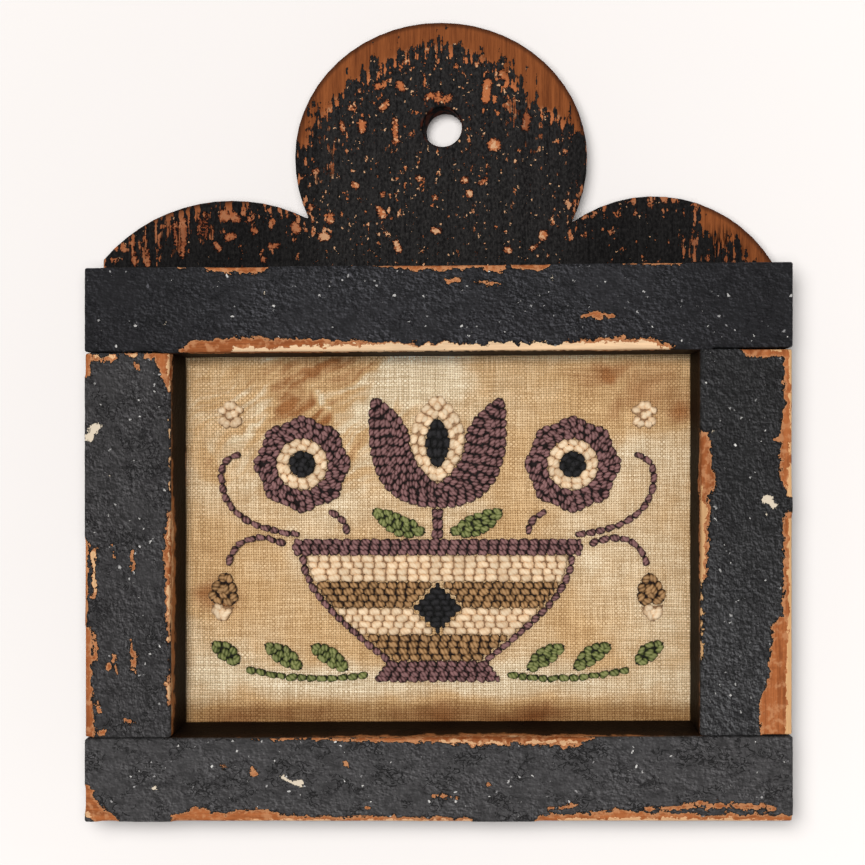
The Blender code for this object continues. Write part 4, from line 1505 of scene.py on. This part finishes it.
def fillVoids(outlines, placed, plan):  # an extra stitch wherever cloth would show
    border = borderOf(outlines)
    low, high = border.min(0), border.max(0)
    x, z = np.meshgrid(np.arange(low[0], high[0], 0.5), np.arange(low[1], high[1], 0.5))
    grid = np.stack([x.ravel(), z.ravel()], axis=1)
    grid = grid[isInside(grid, outlines)]
    grid = grid[nearest(grid, border) > 0.40 * plan["pitch"]]
    for _ in range(200):
        if not len(grid):
            return
        if not placed:
            placed.append((grid[0] - (0.6, 0), grid[0] + (0.6, 0)))
        away = segmentAway(grid, placed)
        best = int(np.argmax(away))
        if away[best] < 0.60 * plan["pitch"]:
            return
        spot = grid[best]
        middles = np.array([(s + e) / 2 for s, e in placed])
        start, end = placed[int(np.argmin(np.hypot(*(middles - spot).T)))]
        run = (end - start) / max(np.hypot(*(end - start)), 1e-6)
        half = plan["length"] * 0.36
        placed.append((spot - run * half, spot + run * half))


def rowStitches(outlines, plan, chance):  # level rows from side to side
    points = np.vstack(outlines)
    low, high = points[:, 1].min(), points[:, 1].max()
    count = max(1, round((high - low) / plan["pitch"]))
    pitch = (high - low) / count
    placed = []
    drift = chance.uniform(0, plan["length"])
    for row in range(count):
        level = low + pitch * (row + 0.5)
        crossings = []
        for outline in outlines:
            for (x0, z0), (x1, z1) in zip(outline, np.roll(outline, -1, axis=0)):
                if (z0 > level) != (z1 > level):
                    crossings.append(x0 + (x1 - x0) * (level - z0) / (z1 - z0))
        crossings.sort()
        drift += chance.choice((0.0, 0.08, -0.08, 0.16, 0.45)) * plan["length"] + chance.uniform(-0.2, 0.2)
        for left, right in zip(crossings[::2], crossings[1::2]):
            left, right = left + 0.25, right - 0.25
            place = left + (drift % plan["length"])
            stops = [left]
            while place < right - 0.35 * plan["length"]:
                if place - stops[-1] > 0.45 * plan["length"]:
                    stops.append(place + chance.uniform(-0.3, 0.3))
                place += plan["length"] * chance.uniform(0.92, 1.08)
            stops.append(right)
            for a, b in zip(stops, stops[1:]):
                placed.append((np.array((a, level)), np.array((b, level))))
    return placed


def middleLine(outline):  # the centre line of a strip, between its two short ends
    ahead = np.roll(outline, -1, axis=0) - outline
    behind = outline - np.roll(outline, 1, axis=0)
    cross = behind[:, 0] * ahead[:, 1] - behind[:, 1] * ahead[:, 0]
    turn = np.abs(np.arctan2(cross, (behind * ahead).sum(1)))
    corners = sorted(np.argsort(-turn)[:4])
    sides = []
    for a, b in zip(corners, corners[1:] + [corners[0] + len(outline)]):
        sides.append(outline[np.arange(a, b + 1) % len(outline)])
    lengths = [np.hypot(*np.diff(side, axis=0).T).sum() for side in sides]
    long = 0 if lengths[0] + lengths[2] > lengths[1] + lengths[3] else 1
    first, second = sides[long], sides[long + 2][::-1]
    count = max(4, round(max(lengths) / 0.3))
    spread = np.linspace(0, 1, count)
    middle = np.zeros((count, 2))
    for side in (first, second):
        run = runAlong(side)
        for k in range(2):
            middle[:, k] += np.interp(spread, run / run[-1], side[:, k]) / 2
    return middle


def lineStitches(outlines, plan, chance, offsets=(0.0,)):
    middle = middleLine(outlines[0])
    side = squareTo(np.gradient(middle, axis=0))
    placed = []
    for offset in offsets:
        placed += stitchesAlong(middle + side * offset, False, plan["length"] * 1.05, chance)
    return placed


def stitchesFor(node, plan, chance):
    outlines = frontOutlines(node)
    if node.startswith(stitchPlan["rowNodes"]):
        return rowStitches(outlines, plan, chance)
    if node.startswith(stitchPlan["lineNodes"]):
        return lineStitches(outlines, plan, chance)
    if node.startswith(stitchPlan["twinNodes"]):
        return lineStitches(outlines, plan, chance, (-0.9, 0.9))
    return contourStitches(outlines, plan, chance)


def turnedBy(direction, angle):
    c, s = math.cos(angle), math.sin(angle)
    return np.array((direction[0] * c - direction[1] * s, direction[0] * s + direction[1] * c))


def grainFaces(sections, around):  # rings along a grain and a fan at each end
    ring = [(a, (a + 1) % around) for a in range(around)]
    faces = []
    for section in range(sections - 1):
        here, there = section * around, (section + 1) * around
        faces += [(here + a, here + b, there + b, there + a) for a, b in ring]
    last, tail = (sections - 1) * around, sections * around
    faces += [(tail, b, a) for a, b in ring]
    return faces + [(tail + 1, last + a, last + b) for a, b in ring]


def grains(stitches, plan, chance):  # one closed, plied grain of thread for each stitch
    shared = stitchPlan
    sections, around = shared["sections"], shared["around"]
    height = clothFront - pileFront
    u = 0.5 - 0.5 * np.cos(math.pi * np.arange(1, sections + 1) / (sections + 1))
    swell = np.maximum(np.clip(1 - np.abs(2 * u - 1) ** 4, 0, 1) ** 0.5, 0.3)
    angles = np.linspace(0, 2 * math.pi, around, endpoint=False)
    turned = np.append(np.tile(angles, sections), (0, 0))
    template = grainFaces(sections, around)
    size = sections * around + 2
    points, crowns, tones, strands, faces = [], [], [], [], []
    for order, (start, end) in enumerate(stitches):
        length = np.hypot(*(end - start))
        run = turnedBy((end - start) / length, math.radians(chance.gauss(0, plan["lean"])))
        side = np.array((-run[1], run[0]))
        middle = (start + end) / 2 + side * chance.gauss(0, 0.07)
        width = plan["pitch"] * chance.uniform(*shared["fullness"])
        lift = chance.uniform(-0.12, 0.12)
        twist = chance.uniform(0, math.pi)
        half = (width * swell)[:, None]
        top = height - shared["sunk"] * width + lift
        centre = ((top + 0.2) * (1 - np.abs(2 * u - 1) ** 6) - 0.2)[:, None]
        spin = twist + shared["turns"] * math.pi * u * length / shared["turnLength"]
        plies = np.cos(2 * (angles[None] - spin[:, None])) - 0.4
        out = half * (1 + shared["plies"] * plies)
        up = centre + out * shared["flatness"] * np.sin(angles)
        out = np.append(out * np.cos(angles), (0, 0))
        up = np.append(up, (-0.3, -0.3))
        along = np.repeat((u - 0.5) * length * shared["overlap"], around)
        along = np.append(along, (-0.535 * length, 0.535 * length))
        place = middle + along[:, None] * run + out[:, None] * side
        points.append(np.stack([place[:, 0], clothFront - up, place[:, 1]], axis=1))
        crowns.append(np.clip(up / height, 0, 1.1))
        tones.append(np.full(size, chance.random()))
        strands.append(np.stack([along + order * 7.7, turned, np.zeros(size)], axis=1))
        faces += [tuple(i + order * size for i in face) for face in template]
    return np.vstack(points), np.concatenate(crowns), np.concatenate(tones), np.vstack(strands), faces


def insetCorners(outlines, reach):  # where the outlines' corners go when the outlines shrink
    moved = {}
    for outline in outlines:
        square = squareTo(np.roll(outline, -1, axis=0) - outline)
        other = np.roll(square, 1, axis=0)
        mean = (square + other) / np.maximum(1 + (square * other).sum(1), 0.12)[:, None]
        probe = outline[0] + mean[0] * 0.2
        if not isInside(probe[None], outlines)[0]:
            mean = -mean
        for place, shift in zip(outline, mean):
            moved[(round(place[0], 2), round(place[1], 2))] = place + shift * reach
    return moved


def backing(node, start):  # the thread's roots under the rows, so that no cloth shows between them; the material paints them darker, in the shade of the pits
    surface = weldedNode(node)
    bmesh.ops.triangulate(surface, faces=surface.faces)
    inner = insetCorners(frontOutlines(node), 1.0 if node.startswith("star") else 0.5)
    points = []
    surface.verts.index_update()
    for vert in surface.verts:
        place = vert.co / mm
        x, z = inner.get((round(place.x, 2), round(place.z, 2)), (place.x, place.z))
        deep = place.y > (clothFront + pileFront) / 2
        points.append((x, clothFront + 0.2 if deep else clothFront - 0.5, z))
    faces = [tuple(v.index + start for v in face.verts) for face in surface.faces]
    surface.free()
    return np.array(points), faces


def threadFinish(name):
    plan = stitchPlan[name]
    material, tree, shader = newMaterial(name + "Thread")
    along, turned, _ = parts(painted(tree, "strand", "Vector"))
    # the plies' ridges and grooves, painted lighter and darker
    ply = calc("MULTIPLY_ADD", turned, 3.0, calc("MULTIPLY", along, -4.2))
    cord = calc("MULTIPLY_ADD", calc("SINE", ply), 0.5, 0.5)
    place = millimetres(tree)
    fuzz = cloudy(place, 3.2, 3.0, 0.7)
    # painted light and shade: each grain's crown painted in the highlight colour, its low sides and ends in
    # the dark shade of the pits
    light, mid, pitShade = (paint(*c) for c in plan["colours"])
    lit = ruffled(painted(tree, "crown"), fuzz, 0.3)
    lit = ruffled(lit, cord, plan["cord"])
    colour = mixed(step(lit, *plan["pits"]), pitShade, mid)
    colour = mixed(step(lit, 0.70, 1.05), colour, light)
    own = ruffled(painted(tree, "tone"), cloudy(place, 0.12, 2.0, 0.5), 0.8)
    values = {
        "Base Color": shaded(colour, step(own, 0.0, 1.0, 0.88, 1.08)),
        "Roughness": 0.7,
        "Specular IOR Level": 0.25,
        "Sheen Weight": 0.05,
        "Normal": addBump(fuzz, 0.10, addBump(cord, 0.10)),
    }
    dress(shader, values)
    return material


threadNodes = {
    "olive": ("bowl_band_1", "bowl_band_3", "bud_left", "bud_right"),
    "cream": ("bowl_band_2", "bowl_band_4", "tulip_heart", "rosette_ring", "bud_tip", "star"),
    "green": ("tulip_leaf", "sprig"),
    "black": ("bowl_diamond", "tulip_core", "rosette_eye"),
    "plum": ("bowl", "tulip", "rosette", "tendril", "bud_stem"),
}


def nodesByThread():
    sewn = [n for n in sorted(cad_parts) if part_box(n)[0].y / mm > pileFront - 0.5]
    sewn = [n for n in sewn if n not in ("ground_cloth", "back_board")]
    groups = {}
    for name, starts in threadNodes.items():
        groups[name] = [n for n in sewn if n.startswith(starts)]
        sewn = [n for n in sewn if n not in groups[name]]
    return groups


def makeStitches(name, nodes):
    plan = stitchPlan[name]
    chance = random.Random("stitches " + name)
    stitches = []
    for node in nodes:
        stitches += stitchesFor(node, plan, chance)
    points, crowns, tones, strands, faces = grains(stitches, plan, chance)
    for node in nodes:
        if not node.startswith(stitchPlan["lineNodes"]):
            more, moreFaces = backing(node, len(points))
            points = np.vstack([points, more])
            # a low crown, so that the material paints the backing darker, in the shade of the pits
            crowns = np.append(crowns, np.full(len(more), 0.3))
            tones = np.append(tones, np.full(len(more), 0.5))
            strands = np.vstack([strands, np.zeros((len(more), 3))])
            faces += moreFaces
    piece = addPiece(name + "Stitches", (points * mm).tolist(), faces, threadFinish(name))
    finishPiece(piece, nodes, {"crown": crowns, "tone": tones, "strand": strands})
    print(name, "stitches:", len(stitches), "in", len(nodes), "nodes")
    return piece


stitching = [makeStitches(name, nodes) for name, nodes in nodesByThread().items()]
